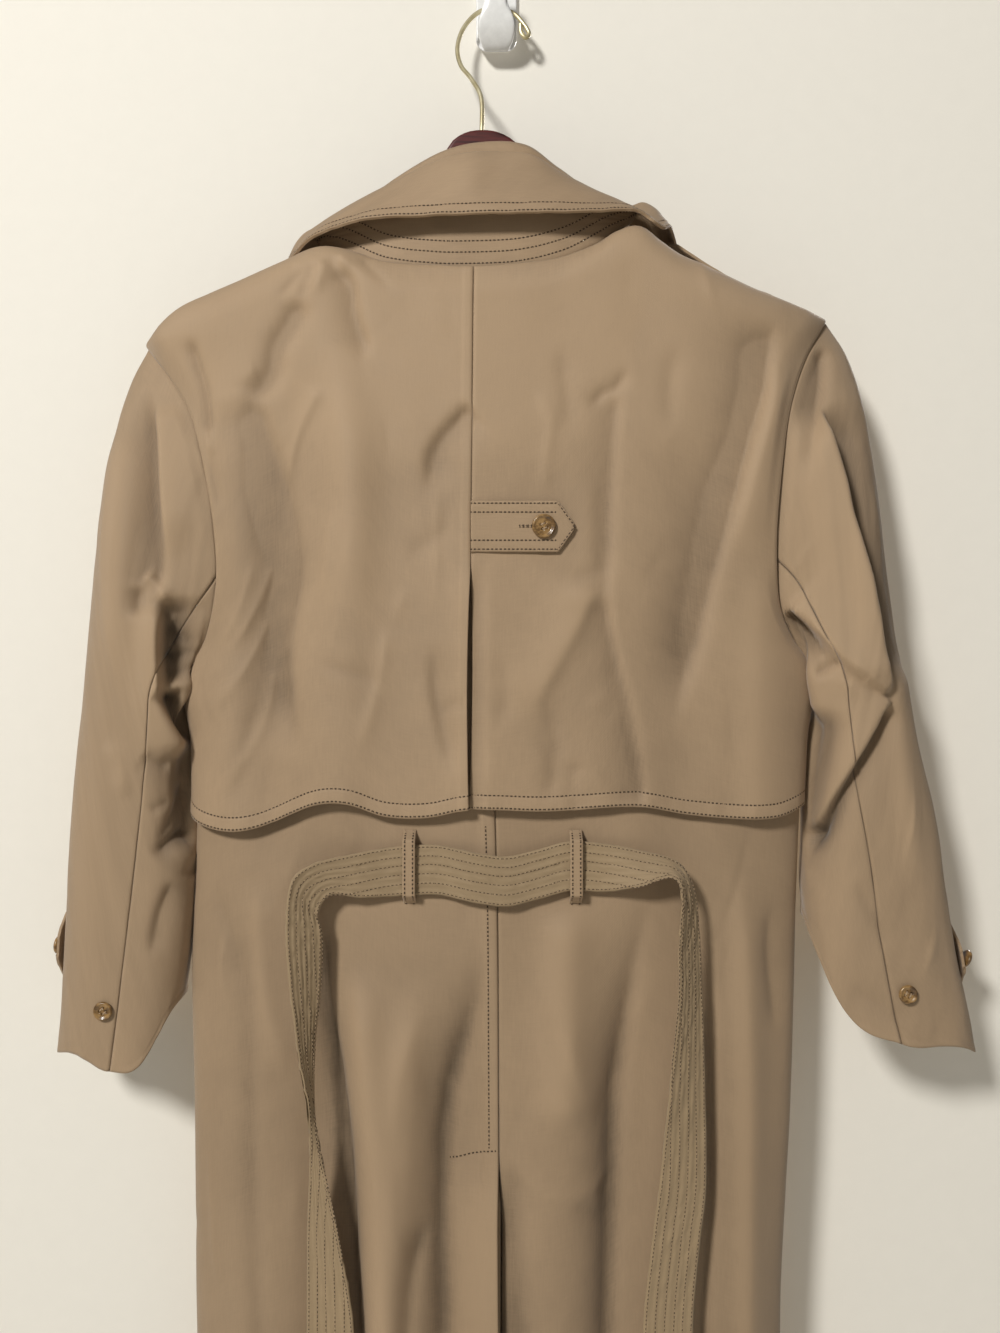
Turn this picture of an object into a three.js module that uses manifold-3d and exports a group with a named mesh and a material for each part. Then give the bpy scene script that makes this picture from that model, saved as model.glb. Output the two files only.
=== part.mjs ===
// A trench coat hanging by its wooden hanger from a wall hook, seen from the back.
// Millimetres, +Z up. The wall is the plane y = 0 and the coat hangs on its -Y side, back outwards.
// The origin is the centre of the wall hook's back face.
import * as THREE from 'three';
import { mergeVertices } from 'three/addons/utils/BufferGeometryUtils.js';
import Module from 'manifold-3d';

const wasm = await Module();
wasm.setup();

// ---- Driving dimensions ----
const CLOTH = 1.6;            // one layer of coat cloth with its lining
const DOUBLE = 2.4;           // collar, tab, strap and epaulette: two layers and interlining
const SEAM = 0.3;             // gap between pieces at a seam
const MID_Y = -55;            // plane of the side and shoulder seams
const BODY_ROUND = 2.8;       // exponent of the flattened body section
const SHOULDER_RADIUS = 30;   // how soon the back and fronts reach their full depth below the seam
const SHOULDER_ROUND = 2.5;   // exponent of that curve
const UNDERARM_DEPTH = 0.8;   // share of the body's depth that the armhole reaches
const HEM_Z = -1350;          // hem at the centre back
const HEM_LEAN = 0.03;        // the coat leans, so its left hem is lower
const VENT_TOP = -914;        // top of the centre-back vent
const BELT_THICK = 2.6;
// Radii of the two button sizes, and shares of the thickness where the rim is widest and the dish lies.
const BUTTON = {
  small: 7.2, large: 9, thick: 3, sides: 14, foot: 1, lip: 0.8, rim: 2.4, widest: 0.35, dish: 0.62,
};
const BACK_COLS = 12;
const FRONT_COLS = 8;
const YOKE_ROWS = 13;         // rows of the back from its top edge to the yoke hem
const SKIRT_ROWS = 9;         // and from there to its hem
const FRONT_TOP_ROWS = 10;    // rows of the front down to below the armhole
const FRONT_SKIRT_ROWS = 7;
const FRONT_SPLIT_Z = -590;
const ROW_CROWD = 1.4;        // rows lie closer near the shoulders
const ARMHOLE_GAP = 2;        // the faceted armhole edges need a little more than SEAM
const SHOULDER_GAP = 2;       // the yoke's shoulder edge lies between the back and the front
const ARMHOLE_HALF = 34;      // half its width, front to back
const ARMHOLE_TURN = 0.35;    // how far its mitre turns into the body

// Side seam below the underarm, armhole seam above it.
const LEFT_SIDE = [
  { z: -289, x: -275 }, { z: -318, x: -253 }, { z: -344, x: -237 }, { z: -370, x: -228 },
  { z: -401, x: -221 }, { z: -437, x: -216 }, { z: -478, x: -215 }, { z: -521, x: -225 },
  { z: -557, x: -243 }, { z: -600, x: -237 }, { z: -665, x: -236 }, { z: -769, x: -240 },
  { z: -969, x: -237 }, { z: -1360, x: -231 },
];
const RIGHT_SIDE = [
  { z: -269, x: 261 }, { z: -304, x: 240 }, { z: -340, x: 227 }, { z: -379, x: 220 },
  { z: -430, x: 216 }, { z: -466, x: 216 }, { z: -498, x: 220 }, { z: -522, x: 231 },
  { z: -549, x: 248 }, { z: -600, x: 242 }, { z: -661, x: 239 }, { z: -713, x: 237 },
  { z: -850, x: 232 }, { z: -1076, x: 226 }, { z: -1360, x: 222 },
];
// Neck seam and shoulder seams, from the left shoulder point to the right one.
const TOP_EDGE = [
  { x: -275, z: -289, y: -55 }, { x: -265, z: -280, y: -55 }, { x: -245, z: -265, y: -55 },
  { x: -221, z: -255, y: -55 }, { x: -197, z: -245, y: -55 }, { x: -163, z: -231, y: -56 },
  { x: -138, z: -222, y: -62 }, { x: -119, z: -224, y: -76 }, { x: -86, z: -236, y: -89 },
  { x: -41, z: -240, y: -94 }, { x: -17, z: -240, y: -95 }, { x: 18, z: -238, y: -94 },
  { x: 50, z: -232, y: -90 }, { x: 78, z: -220, y: -83 }, { x: 94, z: -209, y: -76 },
  { x: 110, z: -203, y: -62 }, { x: 141, z: -217, y: -56 }, { x: 191, z: -239, y: -55 },
  { x: 227, z: -253, y: -55 }, { x: 261, z: -269, y: -55 },
];
const NECK_Z = -240;          // where the centre lines start
const FRONT_NECK_Y = -62;     // the front's neck edge comes no nearer the back than this
const NECK_SIDE = { left: -138, right: 110 };
const SHOULDER_Z = { left: -289, right: -269 };
const UNDERARM_Z = { left: -557, right: -549 };
const BACK_CENTRE = [
  { z: -240, x: -17 }, { z: -460, x: -11 }, { z: -680, x: 0 }, { z: -916, x: 2 }, { z: -1360, x: 4 },
];
const YOKE_CENTRE = [{ z: -240, x: -17 }, { z: -457, x: -19 }, { z: -660, x: -20.5 }];
const BODY_DEPTH = [
  { z: -270, back: 40, front: 34 }, { z: -450, back: 42, front: 35 }, { z: -700, back: 38, front: 33 },
  { z: -1000, back: 42, front: 35 }, { z: -1360, back: 46, front: 37 },
];
// Soft ridges (+) and troughs (-) in the back, down the line from the first point to the second.
const BACK_FOLDS = [
  { x1: -150, z1: -300, x2: -172, z2: -640, wide: 20, high: -6 },
  { x1: -195, z1: -290, x2: -205, z2: -600, wide: 14, high: 4 },
  { x1: -110, z1: -330, x2: -120, z2: -640, wide: 22, high: 4 },
  { x1: 150, z1: -330, x2: 140, z2: -640, wide: 26, high: -4 },
  { x1: -12, z1: -760, x2: -48, z2: -1350, wide: 22, high: -9 },
  { x1: 110, z1: -720, x2: 86, z2: -1350, wide: 24, high: -9 },
  { x1: 45, z1: -740, x2: 38, z2: -1350, wide: 26, high: 5 },
  { x1: -95, z1: -740, x2: -110, z2: -1350, wide: 24, high: 6 },
  { x1: -135, z1: -760, x2: -132, z2: -1350, wide: 18, high: -7 },
  { x1: -190, z1: -700, x2: -184, z2: -1350, wide: 22, high: 5 },
  { x1: 185, z1: -700, x2: 178, z2: -1350, wide: 24, high: 5 },
];
const FRONT_FOLDS = [
  { x1: -150, z1: -420, x2: -165, z2: -1350, wide: 24, high: 5 },
  { x1: 150, z1: -440, x2: 160, z2: -1350, wide: 26, high: 5 },
  { x1: 100, z1: -800, x2: 112, z2: -1350, wide: 20, high: -6 },
  { x1: -100, z1: -860, x2: -96, z2: -1350, wide: 20, high: -6 },
];
const FOLD_FADE = 0.25;       // share of a fold's length in which it fades in, and out past its end
// Yoke hem, from the left side to the right, and how far it stands off the back.
const YOKE_HEM = [
  { x: -240, z: -652 }, { x: -227, z: -664 }, { x: -199, z: -669 }, { x: -167, z: -662 },
  { x: -136, z: -648 }, { x: -115, z: -646 }, { x: -84, z: -656 }, { x: -53, z: -657 },
  { x: -21, z: -651 }, { x: 38, z: -652 }, { x: 105, z: -649 }, { x: 146, z: -656 },
  { x: 209, z: -659 }, { x: 240, z: -650 },
];
const YOKE_LIFT = { top: 1.2, hem: 8, from: 0.2, side: 0.7 };
const YOKE_LOOSE = { reach: 0.93, from: 0.35, over: 0.2 };  // its side edges stop short of the side seams
// Fronts: the edge runs up from the hem to the break point, then along the roll line to the neck.
const LAP = 75;
const BREAK_Z = -430;
const ROLL_BEND = 0.85;
const UNDER_FRONT = { deep: 5, from: -110, over: 25, down: 60 };  // the left front lies under the right one
// Sleeve sections from armhole to cuff: outer and inner points, mid plane, half depth.
const LEFT_SLEEVE = [
  { v: 0, ox: -275, oz: -289, ix: -243, iz: -557, half: 40 },
  { v: 0.08, ox: -291, oz: -322, ix: -254, iz: -574, half: 40 },
  { v: 0.2, ox: -306, oz: -384, ix: -253, iz: -607, half: 39 },
  { v: 0.35, ox: -316, oz: -473, ix: -251, iz: -645, half: 38 },
  { v: 0.5, ox: -325, oz: -568, ix: -249, iz: -682, half: 36 },
  { v: 0.65, ox: -333, oz: -650, ix: -247, iz: -719, half: 34 },
  { v: 0.8, ox: -339, oz: -740, ix: -247, iz: -757, half: 33 },
  { v: 1, ox: -345, oz: -845, ix: -246, iz: -803, half: 32 },
];
const RIGHT_SLEEVE = [
  { v: 0, ox: 261, oz: -269, ix: 248, iz: -549, half: 40 },
  { v: 0.08, ox: 281, oz: -304, ix: 258, iz: -566, half: 40 },
  { v: 0.2, ox: 300, oz: -385, ix: 256, iz: -596, half: 39 },
  { v: 0.35, ox: 312, oz: -480, ix: 253, iz: -625, half: 38 },
  { v: 0.5, ox: 328, oz: -585, ix: 250, iz: -655, half: 36 },
  { v: 0.65, ox: 346, oz: -665, ix: 248, iz: -682, half: 35 },
  { v: 0.8, ox: 358, oz: -745, ix: 246, iz: -707, half: 34 },
  { v: 1, ox: 378, oz: -846, ix: 244, iz: -736, half: 33 },
];
const SLEEVE = {
  round: 2.5, midY: -58, settle: 0.3, under: 3.75, cols: 12, underCols: 5, rows: 15, crowd: 1.3,
};
const SLEEVE_SEAM = { top: 1.95, cuff: 1.57, gap: 0.016 };
// The back of the cuff hangs lower than its front, most at the angle `at`.
const CUFF_DROP = { left: { deep: 36, at: 1.83, wide: 0.55 }, right: { deep: 54, at: 1.97, wide: 0.75 } };
// Collar sections from the left front end, round the back, to the right front end:
// neck seam n, fold f, leaf edge e.
const COLLAR = [
  { nx: -107, nz: -240, ny: -25, fx: -107, fz: -224, fy: -25, ex: -150, ez: -296, ey: -6 },
  { nx: -124, nz: -226, ny: -36, fx: -129, fz: -204, fy: -35, ex: -181, ez: -262, ey: -10 },
  { nx: -135, nz: -217, ny: -52, fx: -146, fz: -201, fy: -50, ex: -172, ez: -229, ey: -44 },
  { nx: -132, nz: -217, ny: -68, fx: -138, fz: -198, fy: -62, ex: -160, ez: -223, ey: -68 },
  { nx: -117, nz: -222, ny: -78, fx: -109, fz: -184, fy: -72, ex: -138, ez: -214, ey: -92 },
  { nx: -86, nz: -235, ny: -90, fx: -75, fz: -164, fy: -80, ex: -100, ez: -210, ey: -113 },
  { nx: -50, nz: -239, ny: -95, fx: -43, fz: -149, fy: -85, ex: -60, ez: -210, ey: -119 },
  { nx: -17, nz: -239, ny: -96, fx: -12, fz: -143, fy: -86, ex: -15, ez: -209, ey: -121 },
  { nx: 18, nz: -237, ny: -95, fx: 22, fz: -144, fy: -85, ex: 32, ez: -207, ey: -119 },
  { nx: 52, nz: -230, ny: -91, fx: 48, fz: -157, fy: -80, ex: 76, ez: -203, ey: -112 },
  { nx: 80, nz: -217, ny: -83, fx: 76, fz: -174, fy: -75, ex: 108, ez: -197, ey: -98 },
  { nx: 97, nz: -205, ny: -74, fx: 102, fz: -186, fy: -66, ex: 128, ez: -203, ey: -82 },
  { nx: 107, nz: -195, ny: -58, fx: 115, fz: -178, fy: -54, ex: 141, ez: -198, ey: -58 },
  { nx: 101, nz: -201, ny: -42, fx: 107, fz: -181, fy: -38, ex: 152, ez: -218, ey: -13 },
  { nx: 88, nz: -224, ny: -25, fx: 88, fz: -207, fy: -25, ex: 138, ez: -280, ey: -6 },
];
// Belt from its left hanging end, up, through the two back loops, and down to its right end:
// the edge that lies on top between the loops, and the other edge.
const BELT = [
  { ax: -143, az: -1240, ay: -113, bx: -105, bz: -1240, by: -113 },
  { ax: -143, az: -1140, ay: -112, bx: -105, bz: -1140, by: -112.5 },
  { ax: -142, az: -1038, ay: -108, bx: -106, bz: -1038, by: -111 },
  { ax: -142, az: -967, ay: -106, bx: -117, bz: -967, by: -114 },
  { ax: -138, az: -884, ay: -108, bx: -133, bz: -890, by: -124 },
  { ax: -144, az: -838, ay: -108, bx: -137, bz: -841, by: -125 },
  { ax: -152, az: -780, ay: -108, bx: -134, bz: -778, by: -124 },
  { ax: -155, az: -738, ay: -108, bx: -132, bz: -745, by: -124 },
  { ax: -150, az: -708, ay: -108, bx: -134, bz: -727, by: -122 },
  { ax: -134, az: -692, ay: -107, bx: -124, bz: -712, by: -118 },
  { ax: -108, az: -684, ay: -105, bx: -103, bz: -715, by: -110 },
  { ax: -84, az: -680, ay: -100, bx: -83, bz: -717, by: -101 },
  { ax: -62, az: -678, ay: -99.5, bx: -62, bz: -716, by: -100 },
  { ax: -42, az: -678, ay: -99.5, bx: -42, bz: -716, by: -100.5 },
  { ax: -17, az: -683, ay: -102, bx: -17, bz: -721, by: -103 },
  { ax: 8, az: -686, ay: -102, bx: 8, bz: -724, by: -103 },
  { ax: 32, az: -681, ay: -100, bx: 32, bz: -719, by: -101 },
  { ax: 56, az: -675, ay: -99.5, bx: 56, bz: -713, by: -100 },
  { ax: 84, az: -677, ay: -100, bx: 84, bz: -713, by: -102 },
  { ax: 108, az: -681, ay: -104, bx: 106, bz: -709, by: -112 },
  { ax: 132, az: -690, ay: -106, bx: 126, bz: -706, by: -120 },
  { ax: 147, az: -710, ay: -107, bx: 134, bz: -722, by: -124 },
  { ax: 153, az: -742, ay: -107, bx: 135, bz: -748, by: -124 },
  { ax: 155, az: -785, ay: -107, bx: 135, bz: -785, by: -122 },
  { ax: 157, az: -850, ay: -107, bx: 129, bz: -850, by: -118 },
  { ax: 158, az: -930, ay: -107, bx: 122, bz: -926, by: -112 },
  { ax: 153, az: -977, ay: -107, bx: 116, bz: -977, by: -110 },
  { ax: 148, az: -1038, ay: -107, bx: 110, bz: -1038, by: -109 },
  { ax: 147, az: -1140, ay: -107, bx: 109, bz: -1140, by: -109 },
  { ax: 147, az: -1232, ay: -107, bx: 109, bz: -1232, by: -109 },
];
// Plain buckle with a centre bar and no prong, behind the belt's left end.
const BUCKLE = { x: -124, z: -1236, wide: 56, tall: 50, rim: 5.5, bar: 5, thick: 3, y: -106.9 };
const BELT_LOOPS = [{ name: 'belt_loop_left', x: -65.5 }, { name: 'belt_loop_right', x: 60.5 }];
const LOOP = { wide: 9.5, top: -667, bottom: -723, base: 0.6, lift: 9.9, bend: 0.14 };
const BACK_TAB = {
  x: -18.9, square: 46.5, tip: 58.2, z: -437.8, half: 19, lift: 9.8, button: 35.8, point: 0.86,
};
const WOOD = [
  { x: -212, top: -259.4, bottom: -286 }, { x: -160, top: -237.4, bottom: -268 },
  { x: -120, top: -225.4, bottom: -254 }, { x: -80, top: -198, bottom: -238 },
  { x: -48, top: -150, bottom: -228 }, { x: -34, top: -126, bottom: -224 },
  { x: -11.5, top: -118, bottom: -222 }, { x: 12, top: -125, bottom: -221 },
  { x: 34, top: -150, bottom: -221 }, { x: 66, top: -188, bottom: -224 },
  { x: 104, top: -210.4, bottom: -238 }, { x: 150, top: -230, bottom: -259 },
  { x: 198, top: -251.4, bottom: -278 },
];
const WOOD_FORM = { y: -56, thick: 10, bevel: 1.5, steps: 30 };
const BORE = { x: -11.5, top: -108, bottom: -152, lean: 1, steps: 4 };
// Wire hook of the hanger, from inside the wood to its curled tip.
const WIRE_FORM = { radius: 1.6, sides: 8, steps: 52 };
const WIRE = [
  { x: -11.5, y: -56, z: -150 }, { x: -11.5, y: -55, z: -118 }, { x: -12, y: -49, z: -88 },
  { x: -20, y: -40, z: -68 }, { x: -29, y: -31, z: -52 }, { x: -32, y: -25, z: -34 },
  { x: -27, y: -20, z: -15 }, { x: -15, y: -17, z: -0.6 }, { x: 0, y: -16.5, z: 3 },
  { x: 13, y: -17, z: -0.6 }, { x: 22, y: -18, z: -10 }, { x: 27, y: -19, z: -19 },
  { x: 24, y: -20, z: -23 }, { x: 20.5, y: -20, z: -19 }, { x: 20, y: -20, z: -12 },
];
const HOOK = { wide: 34, tall: 72, plate: 4, corner: 9, cornerSteps: 4, reach: 40, spoonSteps: 14 };
// Side view of the hook's arm, and the half width of its spoon-shaped face.
const HOOK_PROFILE = [
  { y: -3, z: -33 }, { y: -15, z: -31 }, { y: -25, z: -20 }, { y: -30, z: -6 }, { y: -32, z: 8 },
  { y: -31, z: 18 }, { y: -29, z: 22 }, { y: -26.5, z: 20 }, { y: -25, z: 9 }, { y: -21.5, z: 1.5 },
  { y: -19, z: -0.4 }, { y: -14, z: -0.4 }, { y: -9, z: 2 }, { y: -3, z: 14 },
];
const SPOON = [
  { z: -34, half: 5 }, { z: -31, half: 11 }, { z: -24, half: 15.5 }, { z: -14, half: 14 },
  { z: -6, half: 9 }, { z: 0, half: 8 }, { z: 12, half: 7.5 }, { z: 20, half: 6.5 }, { z: 23, half: 3.5 },
];
// The stand rises off the neck seam and, from `from` backwards, stands off the back.
const STAND = { rise: 3.4, back: 1.2, from: -60, over: 15 };
const NECK_MIDDLE = new THREE.Vector3(-15, -78, 0);
// How far the fold of the fall stands out before it drops, and how much more from `from` forwards.
const FALL = { turn: 11, more: 4, from: -64, over: 18, rise: DOUBLE + 6 * SEAM, clear: DOUBLE + 4 * SEAM };
const LAPEL = {
  lift: 0.6, tilt: 2, full: 1.1, bow: 0.8,
  left: { tipX: -158, tipZ: -292, gorgeZ: -262, footZ: -325 },
  right: { tipX: 150, tipZ: -284, gorgeZ: -240, footZ: -428 },
};
// Each lies from just in front of the shoulder seam down the front, and rises to its tip.
const EPAULETTE = {
  from: 0.05, deep: 22, lift: 2.9, rise: 0.35, button: 0.74, point: { from: 0.86, by: 0.85 },
  left: { outer: -268, inner: -186, tipLift: 0 }, right: { outer: 254, inner: 127, tipLift: 11 },
};
const STRAP = {
  from: -2.35, to: 0.12, share: 0.09, tipLift: 2, rise: 0.7, point: { from: 0.9, by: 0.7 }, button: 0.16,
  left: { at: 0.845, lift: 4, button: 0.2 }, right: { at: 0.85, lift: 4.6, button: 3.9 },
};
const CUFF_BUTTON = { left: { x: -300, y: -91, z: -806 }, right: { x: 314, y: -91.9, z: -793 } };
const WAIST_BUTTON = { x: -143, z: -706, out: 2 };
const FRONT_BUTTONS = { rows: [-470, -600, -730], columns: [-48, 48], lift: 0.7, halfWidth: 240 };

const COLOURS = {
  khaki: { color: 0x9c8468, roughness: 0.85, metalness: 0 },
  horn: { color: 0x5b3b1f, roughness: 0.35, metalness: 0 },
  wood: { color: 0x3f120c, roughness: 0.35, metalness: 0 },
  wire: { color: 0xc9b98c, roughness: 0.25, metalness: 1 },
  plastic: { color: 0xf1f0ec, roughness: 0.3, metalness: 0 },
};

const coat = new THREE.Group();
const V = (x, y, z) => new THREE.Vector3(x, y, z);
const mix = (a, b, t) => a + (b - a) * t;
const clamp01 = (t) => Math.min(1, Math.max(0, t));
const smooth = (t) => clamp01(t) ** 2 * (3 - 2 * clamp01(t));
// Share by which a strip has narrowed towards its point, at a share v of its length.
const pointed = ({ from, by }, v) => by * clamp01((v - from) / (1 - from));

// A smooth curve through a table: column `key` against column `at`, flat beyond the ends.
function curve(rows, at, key) {
  const sorted = [...rows].sort((a, b) => a[at] - b[at]);
  const xs = sorted.map((row) => row[at]);
  const ys = sorted.map((row) => row[key]);
  const last = xs.length - 1;
  const slope = (i) => {
    const a = Math.max(i - 1, 0);
    const b = Math.min(i + 1, last);
    return (ys[b] - ys[a]) / (xs[b] - xs[a]);
  };
  return (x) => {
    if (x <= xs[0]) return ys[0];
    if (x >= xs[last]) return ys[last];
    let i = 0;
    while (x > xs[i + 1]) i += 1;
    const w = xs[i + 1] - xs[i];
    const t = (x - xs[i]) / w;
    const a = ys[i] + slope(i) * w * t * (1 - t) ** 2 - slope(i + 1) * w * t * t * (1 - t);
    return a + (ys[i + 1] - ys[i]) * t * t * (3 - 2 * t);
  };
}

const sideX = { left: curve(LEFT_SIDE, 'z', 'x'), right: curve(RIGHT_SIDE, 'z', 'x') };
const topZ = curve(TOP_EDGE, 'x', 'z');
const topY = curve(TOP_EDGE, 'x', 'y');
const backCentre = curve(BACK_CENTRE, 'z', 'x');
const yokeCentre = curve(YOKE_CENTRE, 'z', 'x');
const depthOf = { back: curve(BODY_DEPTH, 'z', 'back'), front: curve(BODY_DEPTH, 'z', 'front') };
const yokeHem = curve(YOKE_HEM, 'x', 'z');
const hemZ = (x) => HEM_Z + HEM_LEAN * x;
const sign = { left: -1, right: 1 };

// Adds one piece to the coat.
function addPiece(name, geometry, look, parent = coat) {
  const mesh = new THREE.Mesh(geometry, new THREE.MeshStandardMaterial({ ...COLOURS[look] }));
  mesh.name = name;
  parent.add(mesh);
  return mesh;
}

// Flips a closed mesh whose faces point inwards.
function facingOut(positions, triangles) {
  let volume = 0;
  for (const [a, b, c] of triangles) {
    volume += positions[a].dot(V(0, 0, 0).crossVectors(positions[b], positions[c]));
  }
  const order = volume < 0 ? triangles.map(([a, b, c]) => [a, c, b]) : triangles;
  const geometry = new THREE.BufferGeometry();
  geometry.setAttribute('position', new THREE.Float32BufferAttribute(
    positions.flatMap((p) => [p.x, p.y, p.z]), 3));
  geometry.setIndex(order.flat());
  geometry.computeVertexNormals();
  return geometry;
}

// The outward normal of a surface(u, v), taken from nearby points.
const NORMAL_STEP = 0.004;
function normalOf(surface, u, v, outward) {
  const step = NORMAL_STEP;
  const du = surface(Math.min(u + step, 1), v).sub(surface(Math.max(u - step, 0), v));
  const dv = surface(u, Math.min(v + step, 1)).sub(surface(u, Math.max(v - step, 0)));
  return V(0, 0, 0).crossVectors(du, dv).normalize().multiplyScalar(outward);
}

// A closed wall of cloth on surface(u, v). `lift` moves it out along the normal. `inward`, where it
// gives a vector, sets the wall's own direction there, so that two walls meet at a mitred seam.
function wall(surface, { cols, rows, thick, outward = 1, lift = () => 0, inward = () => null }) {
  const outer = [];
  const inner = [];
  for (let j = 0; j <= rows; j += 1) {
    for (let i = 0; i <= cols; i += 1) {
      const u = i / cols;
      const v = j / rows;
      const normal = normalOf(surface, u, v, outward);
      const p = surface(u, v).addScaledVector(normal, lift(u, v));
      const own = inward(u, v);
      outer.push(p);
      inner.push(own ? p.clone().addScaledVector(own, thick) : p.clone().addScaledVector(normal, -thick));
    }
  }
  const n = outer.length;
  const at = (i, j) => j * (cols + 1) + i;
  const triangles = [];
  const quad = (a, b, c, d) => triangles.push([a, b, c], [a, c, d]);
  for (let j = 0; j < rows; j += 1) {
    for (let i = 0; i < cols; i += 1) {
      quad(at(i, j), at(i + 1, j), at(i + 1, j + 1), at(i, j + 1));
      quad(n + at(i, j), n + at(i, j + 1), n + at(i + 1, j + 1), n + at(i + 1, j));
    }
  }
  for (let i = 0; i < cols; i += 1) {
    quad(at(i, 0), n + at(i, 0), n + at(i + 1, 0), at(i + 1, 0));
    quad(at(i + 1, rows), n + at(i + 1, rows), n + at(i, rows), at(i, rows));
  }
  for (let j = 0; j < rows; j += 1) {
    quad(at(0, j + 1), n + at(0, j + 1), n + at(0, j), at(0, j));
    quad(at(cols, j), n + at(cols, j), n + at(cols, j + 1), at(cols, j + 1));
  }
  return facingOut([...outer, ...inner], triangles);
}

// ---- Body ----
function foldHeight(folds, x, z) {
  let height = 0;
  for (const fold of folds) {
    const along = (fold.z1 - z) / (fold.z1 - fold.z2);
    const fade = smooth(along / FOLD_FADE) * smooth((1 + FOLD_FADE - along) / FOLD_FADE);
    const away = (x - mix(fold.x1, fold.x2, along)) / fold.wide;
    height += fold.high * fade * Math.exp(-away * away);
  }
  return height;
}

// Share of the body's depth at a height and a share of the half width.
function sectionShare(side, across, z) {
  const down = (SHOULDER_Z[side] - z) / (SHOULDER_Z[side] - UNDERARM_Z[side]);
  const open = down > 0 && down < 1 ? UNDERARM_DEPTH * Math.sin(Math.PI * down) ** 0.5 : 0;
  const edge = open ** BODY_ROUND;
  return (edge + (1 - edge) * Math.max(0, 1 - across ** BODY_ROUND)) ** (1 / BODY_ROUND);
}

// Depth of the back or the front at a place, measured from the middle plane outwards.
function bodyPoint(face, side, x, z, across, topAt) {
  const out = face === 'back' ? -1 : 1;
  const full = MID_Y + out * depthOf[face](z) * sectionShare(side, across, z);
  const fall = clamp01((topAt.z - z) / SHOULDER_RADIUS);
  const reach = (1 - (1 - fall) ** SHOULDER_ROUND) ** (1 / SHOULDER_ROUND);
  const start = face === 'back' ? topAt.y : Math.max(topAt.y, FRONT_NECK_Y) + SHOULDER_GAP;
  const folds = face === 'back' ? BACK_FOLDS : FRONT_FOLDS;
  const soft = foldHeight(folds, x, z) * (1 - across ** 6) * fall;
  return V(x, mix(start, full, reach) + out * (soft + SEAM / 2), z);
}

// Height at a share v of the way down: closer rows at the top, then even ones below `splitZ`.
function rowHeight(v, share, top, splitZ, bottom) {
  if (v < share) return mix(top, splitZ, (v / share) ** ROW_CROWD);
  return mix(splitZ, bottom, (v - share) / (1 - share));
}

// u runs from the centre line to the side, v from the top edge down to the hem, past the yoke hem.
function backSurface(side, centre) {
  const share = YOKE_ROWS / (YOKE_ROWS + SKIRT_ROWS);
  return (u, v) => {
    const across = Math.sin(Math.PI / 2 * u);
    const topX = mix(centre(NECK_Z), sideX[side](0), across);
    const topAt = { z: topZ(topX), y: topY(topX) };
    let x = topX;
    let z = topAt.z;
    for (let pass = 0; pass < 2; pass += 1) {
      z = rowHeight(v, share, topAt.z, yokeHem(x), hemZ(x));
      x = mix(centre(z) + sign[side] * SEAM / 2, sideX[side](z), across);
    }
    return bodyPoint('back', side, x, z, across, topAt);
  };
}

// The yoke shares the back's points down to its hem.
function yokeSurface(side) {
  const back = backSurface(side, yokeCentre);
  const share = YOKE_ROWS / (YOKE_ROWS + SKIRT_ROWS);
  return (u, v) => {
    const edge = mix(1, YOKE_LOOSE.reach, smooth((v - YOKE_LOOSE.from) / YOKE_LOOSE.over));
    return back(u * edge, share * v);
  };
}

// The roll line, then the straight front edge below the break point.
function frontEdge(side, z) {
  const far = -sign[side] * LAP;
  const neck = NECK_SIDE[side];
  const up = clamp01((z - BREAK_Z) / (topZ(neck) - BREAK_Z));
  return mix(far, neck, up ** ROLL_BEND);
}

function frontSurface(side) {
  return (u, v) => {
    const across = Math.sin(Math.PI / 2 * u);
    const topX = mix(NECK_SIDE[side], sideX[side](0), across);
    const topAt = { z: topZ(topX), y: topY(topX) };
    const share = FRONT_TOP_ROWS / (FRONT_TOP_ROWS + FRONT_SKIRT_ROWS);
    const z = rowHeight(v, share, topAt.z, FRONT_SPLIT_Z, hemZ(topX));
    const x = mix(frontEdge(side, z), sideX[side](z), across);
    const section = clamp01(x / sideX[side](z));
    const p = bodyPoint('front', side, x, z, section, topAt);
    if (side === 'left') {
      const { deep, from, over, down } = UNDER_FRONT;
      p.y -= deep * smooth((x - from) / over) * smooth((topAt.z - z) / down - 1);
    }
    return p;
  };
}

// A point at distance `out` outside the back, at a given x and z.
function onBack(x, z, out) {
  const side = x < backCentre(z) ? 'left' : 'right';
  const place = (px, pz) => {
    const across = clamp01((px - backCentre(pz)) / (sideX[side](pz) - backCentre(pz)));
    const topX = mix(backCentre(NECK_Z), sideX[side](0), across);
    return bodyPoint('back', side, px, pz, across, { z: topZ(topX), y: topY(topX) });
  };
  const p = place(x, z);
  const slopeX = place(x + 1, z).y - place(x - 1, z).y;
  const slopeZ = place(x, z + 1).y - place(x, z - 1).y;
  const normal = V(slopeX / 2, -1, slopeZ / 2).normalize();
  return p.addScaledVector(normal, out);
}

// ---- Armhole: one loop that the body's pieces and the sleeve share ----
function armholePoint(side, angle) {
  const down = (1 - Math.cos(angle)) / 2;
  const z = mix(SHOULDER_Z[side], UNDERARM_Z[side], down);
  const x = sideX[side](z);
  const face = Math.sin(angle) >= 0 ? 'back' : 'front';
  const top = { z: SHOULDER_Z[side], y: MID_Y };
  return bodyPoint(face, side, x, z, 1, top);
}

function sleeveCurves(rows) {
  return Object.fromEntries(['ox', 'oz', 'ix', 'iz', 'half'].map((key) => [key, curve(rows, 'v', key)]));
}
const SLEEVES = { left: sleeveCurves(LEFT_SLEEVE), right: sleeveCurves(RIGHT_SLEEVE) };

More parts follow.
